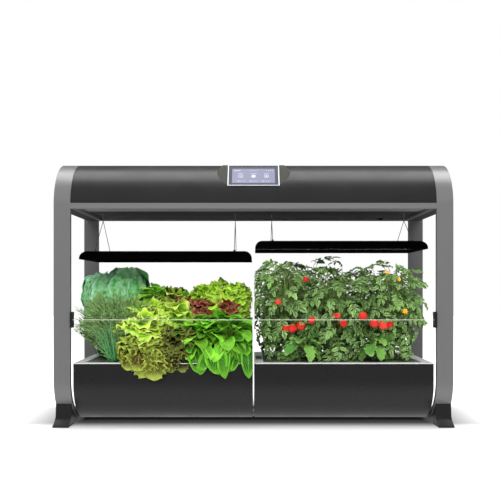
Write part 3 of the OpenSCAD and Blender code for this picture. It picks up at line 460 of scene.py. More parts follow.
def leaf(name, colour, second, margin, vein, veins, pucker, blisters=260.0, rough=0.42, net=0.0):
    """A leaf: two greens that vary from leaf to leaf, veins, blisters, a margin, and painted shade at its
    base and deep in a plant.
    """
    material, tree, shader = start_finish(name)
    mask, groove = place_effect(tree, make_leaf_veins, Veins=veins)
    height, mottle = place_effect(tree, make_leaf_blisters, Scale=blisters)
    each, edge, deep = plant_tints_and_shade(tree)
    uneven = added(tree, mottle, 0.5, times(tree, each, 0.75))
    shade = blend_colour(tree, spread(tree, uneven, 0.2, 0.95), colour, second)
    margins = times(tree, edge, spread(tree, mottle, 0.3, 0.6, 0.55, 1.0))
    shade = blend_colour(tree, margins, shade, margin)
    creases = times(tree, spread(tree, height, 0.72, 0.4), net)
    shade = blend_colour(tree, maths(tree, "MAXIMUM", times(tree, mask, 0.6), creases), shade, vein)
    relief = added(tree, groove, 0.8, times(tree, height, 0.7))
    feed(tree, shader, {
        # painted shade: leaf bases and leaves deep in a plant fall toward a quarter of the green
        "Base Color": blend_colour(tree, times(tree, deep, 0.75), shade, toned(colour, 0.25)),
        "Roughness": spread(tree, mottle, 0.2, 0.8, rough - 0.08, rough + 0.12),
        "Specular IOR Level": 0.25,
        "Subsurface Weight": 0.12,
        "Subsurface Radius": (0.4, 1.0, 0.15),
        "Subsurface Scale": 1.5 * MM,
        "Normal": bump(tree, relief, pucker * MM),
    })
    return material


# ---- pieces


def dress(nodes, bevel, angle=35):
    """Rounds the sharp edges of CAD nodes and shades them smooth."""
    for name in nodes:
        piece = frame["nodes"][name]
        weld = piece.modifiers.new("Join corners", "WELD")
        weld.merge_threshold = 1e-5
        rounding = piece.modifiers.new("Round edges", "BEVEL")
        rounding.width = bevel
        rounding.segments = 2
        rounding.limit_method = "ANGLE"
        rounding.angle_limit = math.radians(angle)
        rounding.use_clamp_overlap = True
        rounding.harden_normals = False
        shading = piece.modifiers.new("Even shading", "WEIGHTED_NORMAL")
        shading.keep_sharp = False


def add_piece(name, points, faces, material, body, stands_for=(), smooth=True):
    """A new mesh piece that rides on a body and may stand for CAD nodes."""
    mesh = bpy.data.meshes.new(name)
    mesh.from_pydata([tuple(point) for point in points], [], faces)
    mesh.materials.append(material)
    mesh.polygons.foreach_set("use_smooth", [smooth] * len(mesh.polygons))
    piece = bpy.data.objects.new(name, mesh)
    bpy.context.scene.collection.objects.link(piece)
    if body:
        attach(piece, body)
    if stands_for:
        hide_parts(*stands_for)
    return piece


def ring_tube(path, radii, sides):
    """Rings of points along a path, each square to it."""
    path = np.asarray(path, float)
    radii = np.broadcast_to(np.asarray(radii, float), (len(path),))
    ahead = np.gradient(path, axis=0)
    ahead /= np.linalg.norm(ahead, axis=1, keepdims=True) + 1e-12
    guide = np.array([1.0, 0, 0]) if abs(ahead[:, 0]).max() < 0.9 else np.array([0, 0, 1.0])
    if abs(ahead @ guide).max() > 0.97:
        guide = np.array([0.31, 0.87, 0.39])
    first = np.cross(ahead, guide)
    first /= np.linalg.norm(first, axis=1, keepdims=True) + 1e-12
    second = np.cross(ahead, first)
    turn = np.linspace(0, 2 * math.pi, sides, endpoint=False)
    around = first[:, None] * np.cos(turn)[None, :, None] + second[:, None] * np.sin(turn)[None, :, None]
    return path[:, None] + around * radii[:, None, None]


class Growth:
    """Collects the leaves and stems of one plant before they become a mesh."""

    def __init__(self):
        self.points, self.quads, self.caps = [], [], []
        self.maps, self.tints = [], []
        self.count = 0

    def sheet(self, surface, tint, around=False, deep=0.0):
        """Adds a grid of points: a leaf, or with around a closed tube. deep paints shade on it, inside a
        plant.
        """
        rows, cols = surface.shape[:2]
        numbers = self.count + np.arange(rows * cols).reshape(rows, cols)
        if around:
            self.caps += [numbers[0, ::-1].tolist(), numbers[-1].tolist()]
            wrapped = np.concatenate([numbers, numbers[:, :1]], 1)
        else:
            wrapped = numbers
        corners = [wrapped[:-1, :-1], wrapped[:-1, 1:], wrapped[1:, 1:], wrapped[1:, :-1]]
        self.quads.append(np.stack(corners, -1).reshape(-1, 4))
        across, along = np.meshgrid(np.linspace(0, 1, cols), np.linspace(0, 1, rows))
        self.maps.append(np.stack([across, along], -1).reshape(-1, 2))
        edge = np.clip(np.maximum(abs(across * 2 - 1), along * 1.02) * 5 - 4, 0, 1)
        colours = np.ones((rows * cols, 4))
        colours[:, 0] = tint
        colours[:, 1] = 0 if around else edge.reshape(-1)
        # the third tint is painted shade: at the base of every leaf, and over a whole leaf by deep
        colours[:, 2] = 0 if around else np.maximum(deep, 0.8 * np.clip(1 - along / 0.3, 0, 1)).reshape(-1)
        self.tints.append(colours)
        self.points.append(surface.reshape(-1, 3))
        self.count += rows * cols

    def tube(self, path, radii, sides, tint=0.5):
        """Adds a stalk along a path."""
        self.sheet(ring_tube(path, radii, sides), tint, around=True)

    def build(self, name, material, slot, nodes, side=None, thickness=0.0, body="frame"):
        """Makes the mesh. What grows on a side of the garden is kept clear of what is round it."""
        points, sheets, caps = np.concatenate(self.points), self.quads, self.caps
        if side:
            kept = clear_of_garden(points, side)
            shift = np.linalg.norm(kept - points, axis=1)
            sheets = [quads for quads in sheets if shift[quads].max() < CRUSHED]
            caps = [cap for cap in caps if shift[cap].max() < CRUSHED]
            points = kept
        faces = np.concatenate(sheets).tolist() + caps
        piece = add_piece(name, points * MM, faces, material, body, nodes)
        mesh = piece.data
        corners = np.empty(len(mesh.loops), np.int32)
        mesh.loops.foreach_get("vertex_index", corners)
        flat = mesh.uv_layers.new(name="leaf")
        flat.data.foreach_set("uv", np.concatenate(self.maps)[corners].astype(np.float32).ravel())
        colours = mesh.color_attributes.new("tint", "FLOAT_COLOR", "POINT")
        colours.data.foreach_set("color", np.concatenate(self.tints).astype(np.float32).ravel())
        if thickness:
            solid = piece.modifiers.new("Leaf thickness", "SOLIDIFY")
            solid.thickness = thickness
            solid.offset = 0.0
        return piece


# ---- leaf shapes, in millimetres: X across, Y out from the stalk, Z up


def bent(run, up, across, length, rise, bend):
    """Bends a flat leaf: it starts at the angle rise and falls by bend over its length."""
    slope = rise - bend * run / length
    if abs(bend) < 1e-3:
        out, height = run * math.cos(rise), run * math.sin(rise)
    else:
        out = length / bend * (math.sin(rise) - np.sin(slope))
        height = length / bend * (np.cos(slope) - math.cos(rise))
    return np.stack([across + 0 * run, out - up * np.sin(slope), height + up * np.cos(slope)], -1)


def oval(t, early, full):
    """Half width along a leaf: early under 1 puts the widest place near the stalk, full makes it blunt."""
    return np.sin(math.pi * np.clip(t, 0, 1) ** early) ** full


def strap_leaf(rng, length, width, rows, cols, shape, rise, bend, cup=0.1, ruffle=0.0,
               waves=4.0, lobes=0, cut=0.0, stalk=0.0, pucker=0.0):
    """A leaf with one midrib, from a narrow strap to a round blade."""
    t = np.linspace(0, 1, rows + 1)[:, None]
    v = np.linspace(-1, 1, cols + 1)[None, :]
    blade = np.clip((t - stalk) / (1 - stalk), 0, 1)
    half = np.maximum(shape(blade), 0.0) * width / 2
    if lobes:
        half = half * (1 - cut * (0.5 + 0.5 * np.cos(2 * math.pi * lobes * blade + rng.uniform(0, 6))))
    half = np.maximum(half, width * 0.02 + 0.4)
    start = rng.uniform(0, 6.28, 2)
    phase = np.where(v < 0, start[0], start[1])
    margin = np.abs(v) ** 2.2
    up = cup * width * margin * np.minimum(1, half / width * 3)
    up = up + ruffle * margin * np.sin(2 * math.pi * waves * blade + phase) * np.minimum(1, half / width * 3)
    up = up + pucker * np.abs(np.sin(9 * math.pi * blade)) * np.abs(np.sin(3.0 * math.pi * v)) * (1 - margin)
    run = t * length + 0 * v
    return bent(run, up, v * half, length, rise, bend)


def fan_leaf(rng, length, reach, rows, cols, rise, bend, ruffle, waves, frill, frills, cup=0.2):
    """A frilly leaf whose veins spread out from its root."""
    r = np.linspace(0.04, 1, rows + 1)[:, None]
    a = np.linspace(-reach, reach, cols + 1)[None, :]
    start = rng.uniform(0, 6.28, 4)
    outline = (0.62 + 0.38 * np.cos(a * 0.75)) * (1 + 0.08 * np.sin(3 * a + start[0]))
    outline = outline * (1 + 0.05 * np.sin(frills * a + start[1]))
    radius = r * outline * length
    narrow = np.clip(r * 1.6, 0.25, 1)
    lift = ruffle * r ** 2.5 * np.sin(waves * a + start[2] + 1.2 * r)
    lift = lift + frill * r ** 5 * np.sin(frills * a + start[3])
    lift = lift + cup * length * (r * np.sin(a)) ** 2 * 0.4
    across = radius * np.sin(a) * narrow
    run = radius * np.cos(a) * 0.8 + length * 0.2 * r
    return bent(run, lift, across, length, rise, bend)


def tomato_leaflet(rng, length, width, bend):
    """One small toothed blade."""
    return strap_leaf(rng, length, width, rows=6, cols=2, shape=lambda t: oval(t, 0.72, 0.75), rise=0.25,
                      bend=bend, cup=0.12, ruffle=1.2, waves=2.5, lobes=3.4, cut=0.42, stalk=0.08)


def stood(points, root, heading, roll=0.0):
    """Turns a leaf to its heading about the vertical, rolls it on its own line and plants it."""
    turn = Euler((0, roll, heading - math.pi / 2)).to_matrix()
    return points @ np.array(turn).T + np.asarray(root)


def softly_below(values, limit, margin):
    """Draws values past a limit back, so that none goes further past it than the margin."""
    over = np.maximum(values - limit + margin, 0)
    return np.where(over > 0, limit - margin + margin * (1 - np.exp(-over / margin)), values)


def clear_of_garden(points, side):
    """Keeps leaves behind the string, over the deck and the doors, under the lamp and inside the loops."""
    points = points.copy()
    x, y, z = points.T
    out = SIDES[side] * x
    window = (np.abs(y) < WINDOW_HALF) & (z > WINDOW_FOOT)
    leaning = softly_below(out, BOWL_HIGH[0] + LEAN_OUT, margin=14)
    out = np.where(window, leaning, softly_below(out, BOWL_HIGH[0] - END_GAP, margin=8))
    x[:] = SIDES[side] * -softly_below(-out, -MIDDLE_GAP, margin=4)
    y[:] = softly_below(y, BACK_REACH, margin=8)
    front = np.where(z > LABEL_TOP + UNDER_STRING, -STRING_BACK, FRONT_REACH)
    y[:] = -softly_below(-y, front, margin=5)
    z[:] = softly_below(z, LAMP_LOW[side] - LAMP_GAP, margin=10)
    curled = (z < DECK_TOP - CURL_DROP) & (y < BOWL_LOW[1] + CURL_DEPTH)
    y[:] = np.where(curled, np.minimum(y, BOWL_LOW[1] - RIM_GAP), y)
    hangs = y < BOWL_LOW[1] - 0.8 * RIM_GAP
    beside, behind = DOOR_ROOM
    over_door = (out < DOOR_HIGH[0] + beside) & (y > DOOR_LOW[1] - behind) & (y < DOOR_HIGH[1] + behind)
    floor = np.where(over_door, DOOR_REACH, DECK_TOP + DECK_GAP)
    z[:] = np.where(hangs, z, np.maximum(z, floor))
    y[:] = np.where(hangs | (z > DECK_TOP + 1), y, np.maximum(y, BOWL_LOW[1] - 1))
    return points


# ---- the plants


def bed(node, side):
    """The plants of a node on one side of the garden: low, high and root, front row first."""
    return [solid for solid in solids(node) if solid[2][0] * SIDES[side] > 0]


def round_leaf(rng, length, rise, bend):
    """A smooth leaf, nearly as wide as it is long."""
    return strap_leaf(rng, length, length * rng.uniform(0.66, 0.8), 10, 8, lambda t: oval(t, 0.9, 0.55),
                      rise, bend, cup=0.14, ruffle=1, waves=2, stalk=0.1, pucker=0.9)


def frilly(rng, length, rise, bend):
    """A fan with a frilled margin."""
    return fan_leaf(rng, length, reach=1.5, rows=7, cols=30, rise=rise, bend=bend, ruffle=length * 0.13,
                    waves=6, frill=length * 0.065, frills=17)


def tufted(rng, length, rise, bend):
    """A small fan, more deeply folded."""
    return fan_leaf(rng, length, reach=1.4, rows=5, cols=18, rise=rise, bend=bend,
                    ruffle=length * 0.12, waves=5, frill=length * 0.08, frills=13)


def hanging(rng, length, rise, bend):
    """A ruffled blade that is widest near its tip."""
    return strap_leaf(rng, length, length * rng.uniform(0.55, 0.68), 40, 12, lambda t: oval(t, 1.2, 0.5),
                      rise, bend, cup=0.08, ruffle=length * 0.07, waves=8, lobes=9, cut=0.3, stalk=0.04,
                      pucker=2.0)


def spoon(rng, length, rise, bend):
    """A smooth cupped blade with a round tip."""
    return strap_leaf(rng, length, length * rng.uniform(0.5, 0.64), 10, 6, lambda t: oval(t, 1.15, 0.55),
                      rise, bend, cup=0.16, ruffle=1.2, waves=3, stalk=0.04, pucker=0.9)


def tall_leaf(rng, length, rise, bend):
    """A long narrow blade."""
    return strap_leaf(rng, length, length * rng.uniform(0.3, 0.38), 12, 6, lambda t: oval(t, 1.1, 0.6),
                      rise, bend, cup=0.2, ruffle=1.4, waves=4, stalk=0.05, pucker=0.8)


def endive(rng, length, rise, bend):
    """A deeply cut, ruffled blade."""
    return strap_leaf(rng, length, length * rng.uniform(0.42, 0.55), 18, 6, lambda t: oval(t, 0.95, 0.5),
                      rise, bend, cup=0.1, ruffle=length * 0.07, waves=7, lobes=7, cut=0.6, stalk=0.05)


def salad(rng, length, rise, bend):
    """A broad blade with shallow lobes, widest near its stalk."""
    return strap_leaf(rng, length, length * rng.uniform(0.55, 0.68), 24, 10, lambda t: oval(t, 0.75, 0.6),
                      rise, bend, cup=0.1, ruffle=2.0, waves=3.5, lobes=6, cut=0.22, stalk=0.12, pucker=0.9)


def outer_leaf(rng):
    """One of the big ruffled leaves low round a cabbage."""
    return strap_leaf(rng, rng.uniform(80, 110), rng.uniform(56, 74), 18, 12, lambda t: oval(t, 1.1, 0.55),
                      rng.uniform(0.9, 1.35), rng.uniform(0.7, 1.5), cup=0.2, ruffle=5, waves=5, stalk=0.1,
                      pucker=2.0)


def head_leaf(rng, radius, heading, wide, reach, opening):
    """A cabbage leaf that wraps a round head from below, with a margin that turns out."""
    t = np.linspace(0, 1, 37)[:, None]
    v = np.linspace(-1, 1, 29)[None, :]
    climb = -1.0 + reach * t + 0 * v
    aside = v * wide * np.maximum(np.sin(math.pi * (0.06 + 0.94 * t) ** 0.85), 0.02) ** 0.5
    margin = np.maximum(np.abs(v), t ** 3)
    start = rng.uniform(0, 6, 3)
    away = radius * (1 + opening * t ** 2 + 0.12 * margin ** 5)
    away = away + 0.07 * radius * margin ** 3 * np.sin(14 * t + 6 * v + start[0])
    away = away + 0.03 * radius * margin ** 6 * np.sin(37 * t + 17 * v + start[2])
    creased = np.abs(np.sin(21 * t + 2 * v + start[1]) * np.sin(11 * v + 3 * t + start[0]))
    away = away + 0.085 * radius * creased * (1 - margin ** 6)
    ahead = np.cos(aside)
    points = np.stack([np.sin(aside) + 0 * t, ahead * np.cos(climb), ahead * np.sin(climb)], -1)
    return stood(points * away[..., None], (0, 0, 0), heading, rng.normal(0, 0.1))


def grow_head(leaves, rng, centre, radius, count):
    """A loose cabbage head: tight leaves inside, open ones outside."""
    for number in range(count):
        outer = number / (count - 1)
        surface = head_leaf(rng, radius * (0.74 + 0.3 * outer), number * GOLDEN_TURN + rng.normal(0, 0.2),
                            wide=rng.uniform(0.72, 0.95), reach=3.0 - 0.85 * outer,
                            opening=0.02 + 0.16 * outer)
        # the inner half of the leaves gets painted shade through deep
        leaves.sheet(surface + np.asarray(centre), rng.uniform(0, 1), deep=0.0 if outer > 0.5 else 0.5)


def leaf_at(leaves, rng, kind):
    """A way to grow single leaves of one kind."""

    def grow(foot, heading, size, rise, bend, tint, deep):
        blade = kind(rng, size, rise, bend)
        leaves.sheet(stood(blade, foot, heading, rng.normal(0, 0.3)), tint, deep=deep)

    return grow


def mound(grow, stalks, rng, root, centre, radii, count, size, start=0.5, lowest=-0.3, rise=0.25,
          bend=(0.8, 1.6), stalk=1.2, tints=(0.0, 1.0)):
    """A rounded plant: leaves all over an egg-shaped crown, each on a stalk from the root."""
    centre, radii = np.asarray(centre, float), np.asarray(radii, float)
    for number in range(count):
        inner = rng.uniform(0.7, 1.15) if number % 3 else rng.uniform(0.3, 0.7)
        level = np.clip(1 - (1 - lowest) * (number + 0.5) / count + rng.normal(0, 0.04), -1, 1)
        heading = number * GOLDEN_TURN + rng.normal(0, 0.2)
        flat = math.sqrt(1 - level ** 2)
        out = np.array([flat * math.cos(heading), flat * math.sin(heading), level])
        foot = centre + radii * out * start * inner
        # every third leaf sits further in and gets painted shade through deep
        grow(foot, heading, size * rng.uniform(0.8, 1.2), math.asin(level) * 0.75 + rise, rng.uniform(*bend),
             rng.uniform(*tints), 0.0 if number % 3 else 0.75)
        if stalk:
            t = np.linspace(0, 1, 5)[:, None]
            knee = (root + foot) / 2 + np.array([0, 0, 0.12 * np.linalg.norm(foot - root)])
            path = (1 - t) ** 2 * root + 2 * t * (1 - t) * knee + t ** 2 * foot
            stalks.tube(path, np.linspace(stalk, stalk * 0.6, 5), 4, rng.uniform(0, 1))


def wander(rng, start, end, sway, steps=9):
    """A path from start to end that bows and wavers."""
    t = np.linspace(0, 1, steps)[:, None]
    bow = rng.normal(0, sway, (2, 3)) * np.array([1, 1, 0.3])
    return start + t * (end - start) + np.sin(math.pi * t) * bow[0] + np.sin(2 * math.pi * t) * bow[1] * 0.5


def grow_fronds(threads, needles, rng, root, centre, radii, count, spurs):
    """Fine stalks that arch out to a rounded cloud, set with needle leaves."""
    centre, radii = np.asarray(centre, float), np.asarray(radii, float)
    for _ in range(count):
        out = rng.normal(0, 1, 3)
        out[2] = abs(out[2]) * 0.9 - 0.35
        tip = centre + radii * out / np.linalg.norm(out) * rng.uniform(0.72, 1.06)
        foot = root + rng.normal(0, 7, 3) * (1, 1, 0)
        t = np.linspace(0, 1, 9)[:, None]
        knee = foot + (tip - foot) * (0.3, 0.3, 0.75) + rng.normal(0, 5, 3)
        path = (1 - t) ** 2 * foot + 2 * t * (1 - t) * knee + t ** 2 * tip
        threads.tube(path, np.linspace(0.8, 0.35, 9), 3, rng.uniform(0, 0.8))
        along = path[-1] - path[-3]
        for _ in range(spurs):
            share = rng.uniform(0.3, 1)
            spot = np.array([np.interp(share, t[:, 0], path[:, axis]) for axis in range(3)])
            reach = along / np.linalg.norm(along) * rng.uniform(6, 13) + rng.normal(0, 3.6, 3)
            needles.tube(np.array([spot, spot + reach]), (0.75, 0.25), 3, rng.uniform(0, 1))


def grow_chives(leaves, rng, root, tall, count, lean):
    """Straight grass-like blades that stand out of one crown."""
    for _ in range(count):
        heading, tilt = rng.uniform(0, 2 * math.pi), abs(rng.normal(0, lean))
        length = tall * rng.uniform(0.55, 1.0)
        foot = root + rng.normal(0, 6, 3) * (1, 1, 0)
        surface = strap_leaf(rng, length, rng.uniform(2.2, 3.8), 12, 2, lambda t: 1 - t ** 3,
                             math.pi / 2 - tilt, rng.uniform(0, 0.5), cup=0.5)
        leaves.sheet(stood(surface, foot, heading, rng.normal(0, 0.1)), rng.uniform(0, 1))


# A tomato leaf's leaflets: each its share of the way along the stalk, and its turn away from it
LEAFLETS = ((0.3, 1.2), (0.3, -1.2), (0.58, 1.0), (0.58, -1.0), (0.82, 0.8), (0.82, -0.8), (1, 0))


def tomato_leaf_at(leaves, stems, rng):
    """A way to grow tomato leaves: a stalk with pairs of toothed leaflets and one at the end."""

    def grow(place, heading, length, rise, bend, tint, deep):
        roll = rng.normal(0, 0.4)
        stalk = bent(np.linspace(0, length, 5), 0.0, 0.0, length, rise, bend)
        stems.tube(stood(stalk, place, heading, roll), np.linspace(0.8, 0.4, 5), 4, rng.uniform(0, 1))
        for share, turn in LEAFLETS:
            slope = rise - bend * share
            at = bent(np.array([share * length]), 0.0, 0.0, length, rise, bend)[0]
            fullness = 1.15 if turn == 0 else 0.75 + 0.25 * math.sin(3 * share)
            size = length * rng.uniform(0.36, 0.5) * fullness
            blade = tomato_leaflet(rng, size, size * rng.uniform(0.5, 0.66), rng.uniform(0.3, 1.6))
            turned = np.array(Euler((0, rng.normal(0, 0.35), -turn + rng.normal(0, 0.15))).to_matrix())
            basis = np.array([[1.0, 0, 0], [0, math.cos(slope), math.sin(slope)],
                              [0, -math.sin(slope), math.cos(slope)]])
            leaves.sheet(stood(blade @ turned.T @ basis + at, place, heading, roll),
                         tint + rng.normal(0, 0.15), deep=deep)

    return grow


def ribbed_fruit(fruits, centre, radius, rng, rings=12, sides=20):
    """A tomato with five soft ribs, hollow under its stalk."""
    down = np.linspace(0.04, math.pi - 0.04, rings)[:, None]
    around = np.linspace(0, 2 * math.pi, sides, endpoint=False)[None, :]
    wide = np.sin(down) * radius * (1 + 0.03 * np.cos(5 * around + rng.uniform(0, 6)) * np.sin(down))
    dimple = 0.26 * radius * np.exp(-(down / 0.45) ** 2)
    tall = np.cos(down) * radius * 0.94 - dimple + 0 * around
    surface = np.stack([wide * np.cos(around), wide * np.sin(around), tall], -1)
    tilt = np.array(Euler((rng.normal(0, 0.3), rng.normal(0, 0.3), rng.uniform(0, 6))).to_matrix())
    fruits.sheet(surface @ tilt.T + np.asarray(centre), rng.uniform(0, 1), around=True)
    return tilt


def star_calyx(leaves, centre, radius, tilt, rng, petals=5):
    """The green star on a fruit, or the petals of a flower."""
    for petal in range(petals):
        blade = strap_leaf(rng, radius * 0.8, radius * 0.3, 5, 2, lambda t: oval(t, 0.6, 0.8), 0.3, 1.2)
        turned = stood(blade, (0, 0, radius * 0.78), petal * 2 * math.pi / petals)
        leaves.sheet(turned @ tilt.T + np.asarray(centre), rng.uniform(0, 1))


# ---- the display


def face_of(node):
    """A node's largest face at the front: its middle, normal, level and upward directions, and its size."""
    mesh = frame["nodes"][node].data
    best = max(mesh.polygons, key=lambda face: face.area * (face.normal.z > 0.1) * (face.normal.y < 0))
    alike = [face for face in mesh.polygons if face.normal.dot(best.normal) > 0.999
             and abs((face.center - best.center).dot(best.normal)) < 1e-4]
    points = np.array([mesh.vertices[index].co[:] for face in alike for index in face.vertices]) / MM
    level = np.array([1.0, 0, 0])
    normal = np.array(best.normal)
    upward = np.cross(normal, level)
    across, along = points @ level, points @ upward
    middle = level * (across.min() + across.max()) / 2 + upward * (along.min() + along.max()) / 2
    middle = middle + normal * (points @ normal).mean()
    return middle, normal, level, upward, (np.ptp(across), np.ptp(along))


def rounded_plate(wide, tall, radius, height, at, segments=6, turn=0.0):
    """Rings of points round a small plate with round corners and a bevelled edge, from its foot up."""
    corner = []
    for quarter in range(4):
        for step in range(segments + 1):
            angle = quarter * math.pi / 2 + step * math.pi / 2 / segments
            sign = ((1, 1), (-1, 1), (-1, -1), (1, -1))[quarter]
            corner.append((sign[0] * (wide / 2 - radius) + radius * math.cos(angle),
                           sign[1] * (tall / 2 - radius) + radius * math.sin(angle)))
    outline = np.array(corner)
    spin = np.array([[math.cos(turn), -math.sin(turn)], [math.sin(turn), math.cos(turn)]])
    inset = min(0.25, radius * 0.5)
    rings = []
    for size, level in ((0, 0), (0, height * 0.7), (inset * 0.4, height), (inset * 2, height)):
        scale = np.array([(wide - 2 * size) / wide, (tall - 2 * size) / tall])
        flat = (outline * scale) @ spin.T + np.asarray(at)
        rings.append(np.column_stack([flat, np.full(len(flat), level)]))
    return rings


def raised_marks(marks, plane, lift):
    """Points and faces of small plates and rings laid on a plane, a lift above it."""
    middle, normal, level, upward, _ = plane
    points, faces = [], []
    for rings in marks:
        first, size = len(points), len(rings[0])
        for ring in rings:
            points += [(middle + x * level + y * upward + (z + lift) * normal) * MM for x, y, z in ring]
        for ring in range(len(rings) - 1):
            for step in range(size):
                following = (step + 1) % size
                row = first + ring * size
                faces.append((row + step, row + following, row + size + following, row + size + step))
        last = first + (len(rings) - 1) * size
        if not np.allclose(rings[0][0], rings[-1][0]):
            faces.append(tuple(range(last, last + size)))
            faces.append(tuple(range(first, first + size))[::-1])
    return points, faces


def ring_mark(radius, width, height, at, sides=28):
    """Rings of points round a flat ring, closed on itself."""
    turn = np.linspace(0, 2 * math.pi, sides, endpoint=False)
    rings = []
    for size, level in ((0, 0), (0, height), (width, height), (width, 0), (0, 0)):
        reach = radius - size
        rings.append(np.column_stack([at[0] + reach * np.cos(turn), at[1] + reach * np.sin(turn),
                                      np.full(sides, level)]))
    return rings


def glowing(name, colour, strength, second=None):
    """A lit surface under glass, with a soft drift from one tone to another."""
    material, tree, shader = start_finish(name)
    across = add(tree, "SeparateXYZ", {0: object_place(tree)}).outputs[0]
    cloud = noise(tree, object_place(tree), 25.0, 2.0)
    drift = added(tree, cloud, 0.4, times(tree, spread(tree, across, -0.06, 0.06), 0.6))
    feed(tree, shader, {
        "Emission Color": blend_colour(tree, drift, colour, second or toned(colour, 0.9)),
        "Emission Strength": strength,
        "Base Color": blend_colour(tree, cloud, (0.01, 0.01, 0.012), (0.02, 0.02, 0.024)),
        "Roughness": 0.2,
    })
    return material


# ---- settings


def srgb(red, green, blue):
    """A colour picked in 0 to 255 display values, as the linear values that shaders use."""
    shares = (value / 255 for value in (red, green, blue))
    return tuple(((share + 0.055) / 1.055) ** 2.4 if share > 0.04 else share / 12.92 for share in shares)


def colour_of(name, *value):
    """A colour that the user can change."""
    return bpy.props.FloatVectorProperty(
        name=name, description="Colour of the " + name.lower(), subtype="COLOR", size=3, min=0, max=1,
        default=srgb(*value),
    )


def length_of(name, description, millimetres):
    """A length that the user can change."""
    return bpy.props.FloatProperty(
        name=name, description=description, default=millimetres * MM, min=0, subtype="DISTANCE",
        unit="LENGTH",
    )


class GardenColours(bpy.types.PropertyGroup):
    """The colours of the garden's frame, hood, bowls and lamps"""

    loops: colour_of("Side loops", 134, 134, 134)
    feet: colour_of("Feet", 31, 31, 32)
    aluminium: colour_of("Aluminium rails", 180, 181, 183)
    hood_rails: colour_of("Hood rails", 136, 136, 137)
    hood: colour_of("Hood shell", 33, 33, 33)
    ceiling: colour_of("Hood ceiling", 160, 160, 161)
    pod: colour_of("Display pod", 52, 54, 45)
    bezel: colour_of("Display bezel", 166, 168, 180)
    screen: colour_of("Display light", 156, 158, 204)
    screen_edge: colour_of("Display border", 44, 46, 52)
    lamps: colour_of("Lamp housings", 1, 1, 1)
    bowls: colour_of("Bowls", 27, 27, 27)
    rims: colour_of("Deck rims", 244, 244, 246)
    decks: colour_of("Deck panels", 100, 102, 100)
    labels: colour_of("Pod labels", 88, 128, 62)
    sponges: colour_of("Growing sponges", 92, 66, 44)


class GardenPlanting(bpy.types.PropertyGroup):
    """The colours of the plants, how thick their leaves are and which planting is grown"""

    cabbage: colour_of("Cabbage leaves", 128, 246, 122)
    round_leaf: colour_of("Round leaves", 196, 255, 92)
    herb: colour_of("Herb threads", 58, 104, 44)
    needle: colour_of("Herb needles", 162, 206, 126)
    chive: colour_of("Chive blades", 88, 172, 70)
    bright: colour_of("Bright lettuce", 216, 255, 58)
    olive: colour_of("Olive lettuce", 126, 148, 46)
    dark: colour_of("Dark lettuce", 82, 86, 34)
    romaine: colour_of("Romaine leaves", 154, 240, 66)
    endive: colour_of("Endive leaves", 196, 255, 52)
    red: colour_of("Red lettuce", 156, 66, 52)
    tomato: colour_of("Tomato leaves", 118, 172, 74)
    stem: colour_of("Stems", 142, 168, 92)
    fruit: colour_of("Tomatoes", 206, 34, 30)
    flower: colour_of("Flowers", 250, 200, 40)
    leaf_thickness: length_of("Leaf thickness", "How thick a leaf is", 0.35)
    seed: bpy.props.IntProperty(name="Seed", description="Which planting is grown", default=7, min=0)


class GardenStudio(bpy.types.PropertyGroup):
    """The camera, the lights and the rounding of edges"""

    camera_place: bpy.props.FloatVectorProperty(
        name="Camera place", description="Where the camera stands", default=(0, -1.68, 0.318),
        subtype="TRANSLATION", unit="LENGTH",
    )
    lens: bpy.props.FloatProperty(name="Lens", description="Focal length", default=48.36, unit="CAMERA")
    shift: bpy.props.FloatVectorProperty(
        name="Shift", description="Lens shift", size=2, default=(-0.007, 0.076)
    )
    overhead: bpy.props.FloatProperty(
        name="Overhead light", description="Power of the soft box above", default=30.0, unit="POWER"
    )
    front: bpy.props.FloatProperty(
        name="Front light", description="Power of the fill at the front", default=106.0, unit="POWER"
    )
    surround: bpy.props.FloatProperty(
        name="Surround", description="Brightness of the studio walls", default=0.36, min=0
    )
    edge_round: length_of("Edge rounding", "Width of the rounding on sharp edges", 0.6)


# ---- the steps that dress the garden


class GARDEN_OT_loops(bpy.types.Operator):
    """Finishes the side loops, their feet, pads and screws"""

    bl_idname = "garden.loops"
    bl_label = "Side loops and feet"

    def execute(self, context):
        tone, studio = context.scene.garden_colours, context.scene.garden_studio
        satin_paint("loop_grey", tone.loops)
        moulded("foot_black", tone.feet, rough=0.42, grain=1100, wear=0.3)
        moulded("pad_rubber", srgb(26, 26, 26), rough=0.8, grain=1600, depth=0.03, wear=0.1)
        metal("screw_steel", srgb(176, 176, 174), rough=0.28)
        dress(["side_loop_left", "side_loop_right"], studio.edge_round)
        dress(["foot_left", "foot_right", "foot_pads"], studio.edge_round)
        return {"FINISHED"}


class GARDEN_OT_rails(bpy.types.Operator):
    """Finishes the rails, and the lift with its shafts, drums, motors and cables"""

    bl_idname = "garden.rails"
    bl_label = "Rails and lamp lift"

    def execute(self, context):
        tone, studio = context.scene.garden_colours, context.scene.garden_studio
        metal("rail_aluminium", tone.aluminium, rough=0.32)
        satin_paint("rail_grey", tone.hood_rails)
        metal("wire_steel", srgb(200, 200, 198), rough=0.2, lines=4000)
        metal("bracket_steel", srgb(150, 152, 154), rough=0.35, lines=900)
        moulded("motor_black", srgb(34, 34, 36), rough=0.4)
        moulded("drum_nylon", srgb(222, 220, 210), rough=0.5, dust=0.1)
        dress(["support_rails", "hood_rails", "shaft_brackets", "spring_motors"], studio.edge_round)
        dress(["wire_grippers"], studio.edge_round * 0.4)
        return {"FINISHED"}


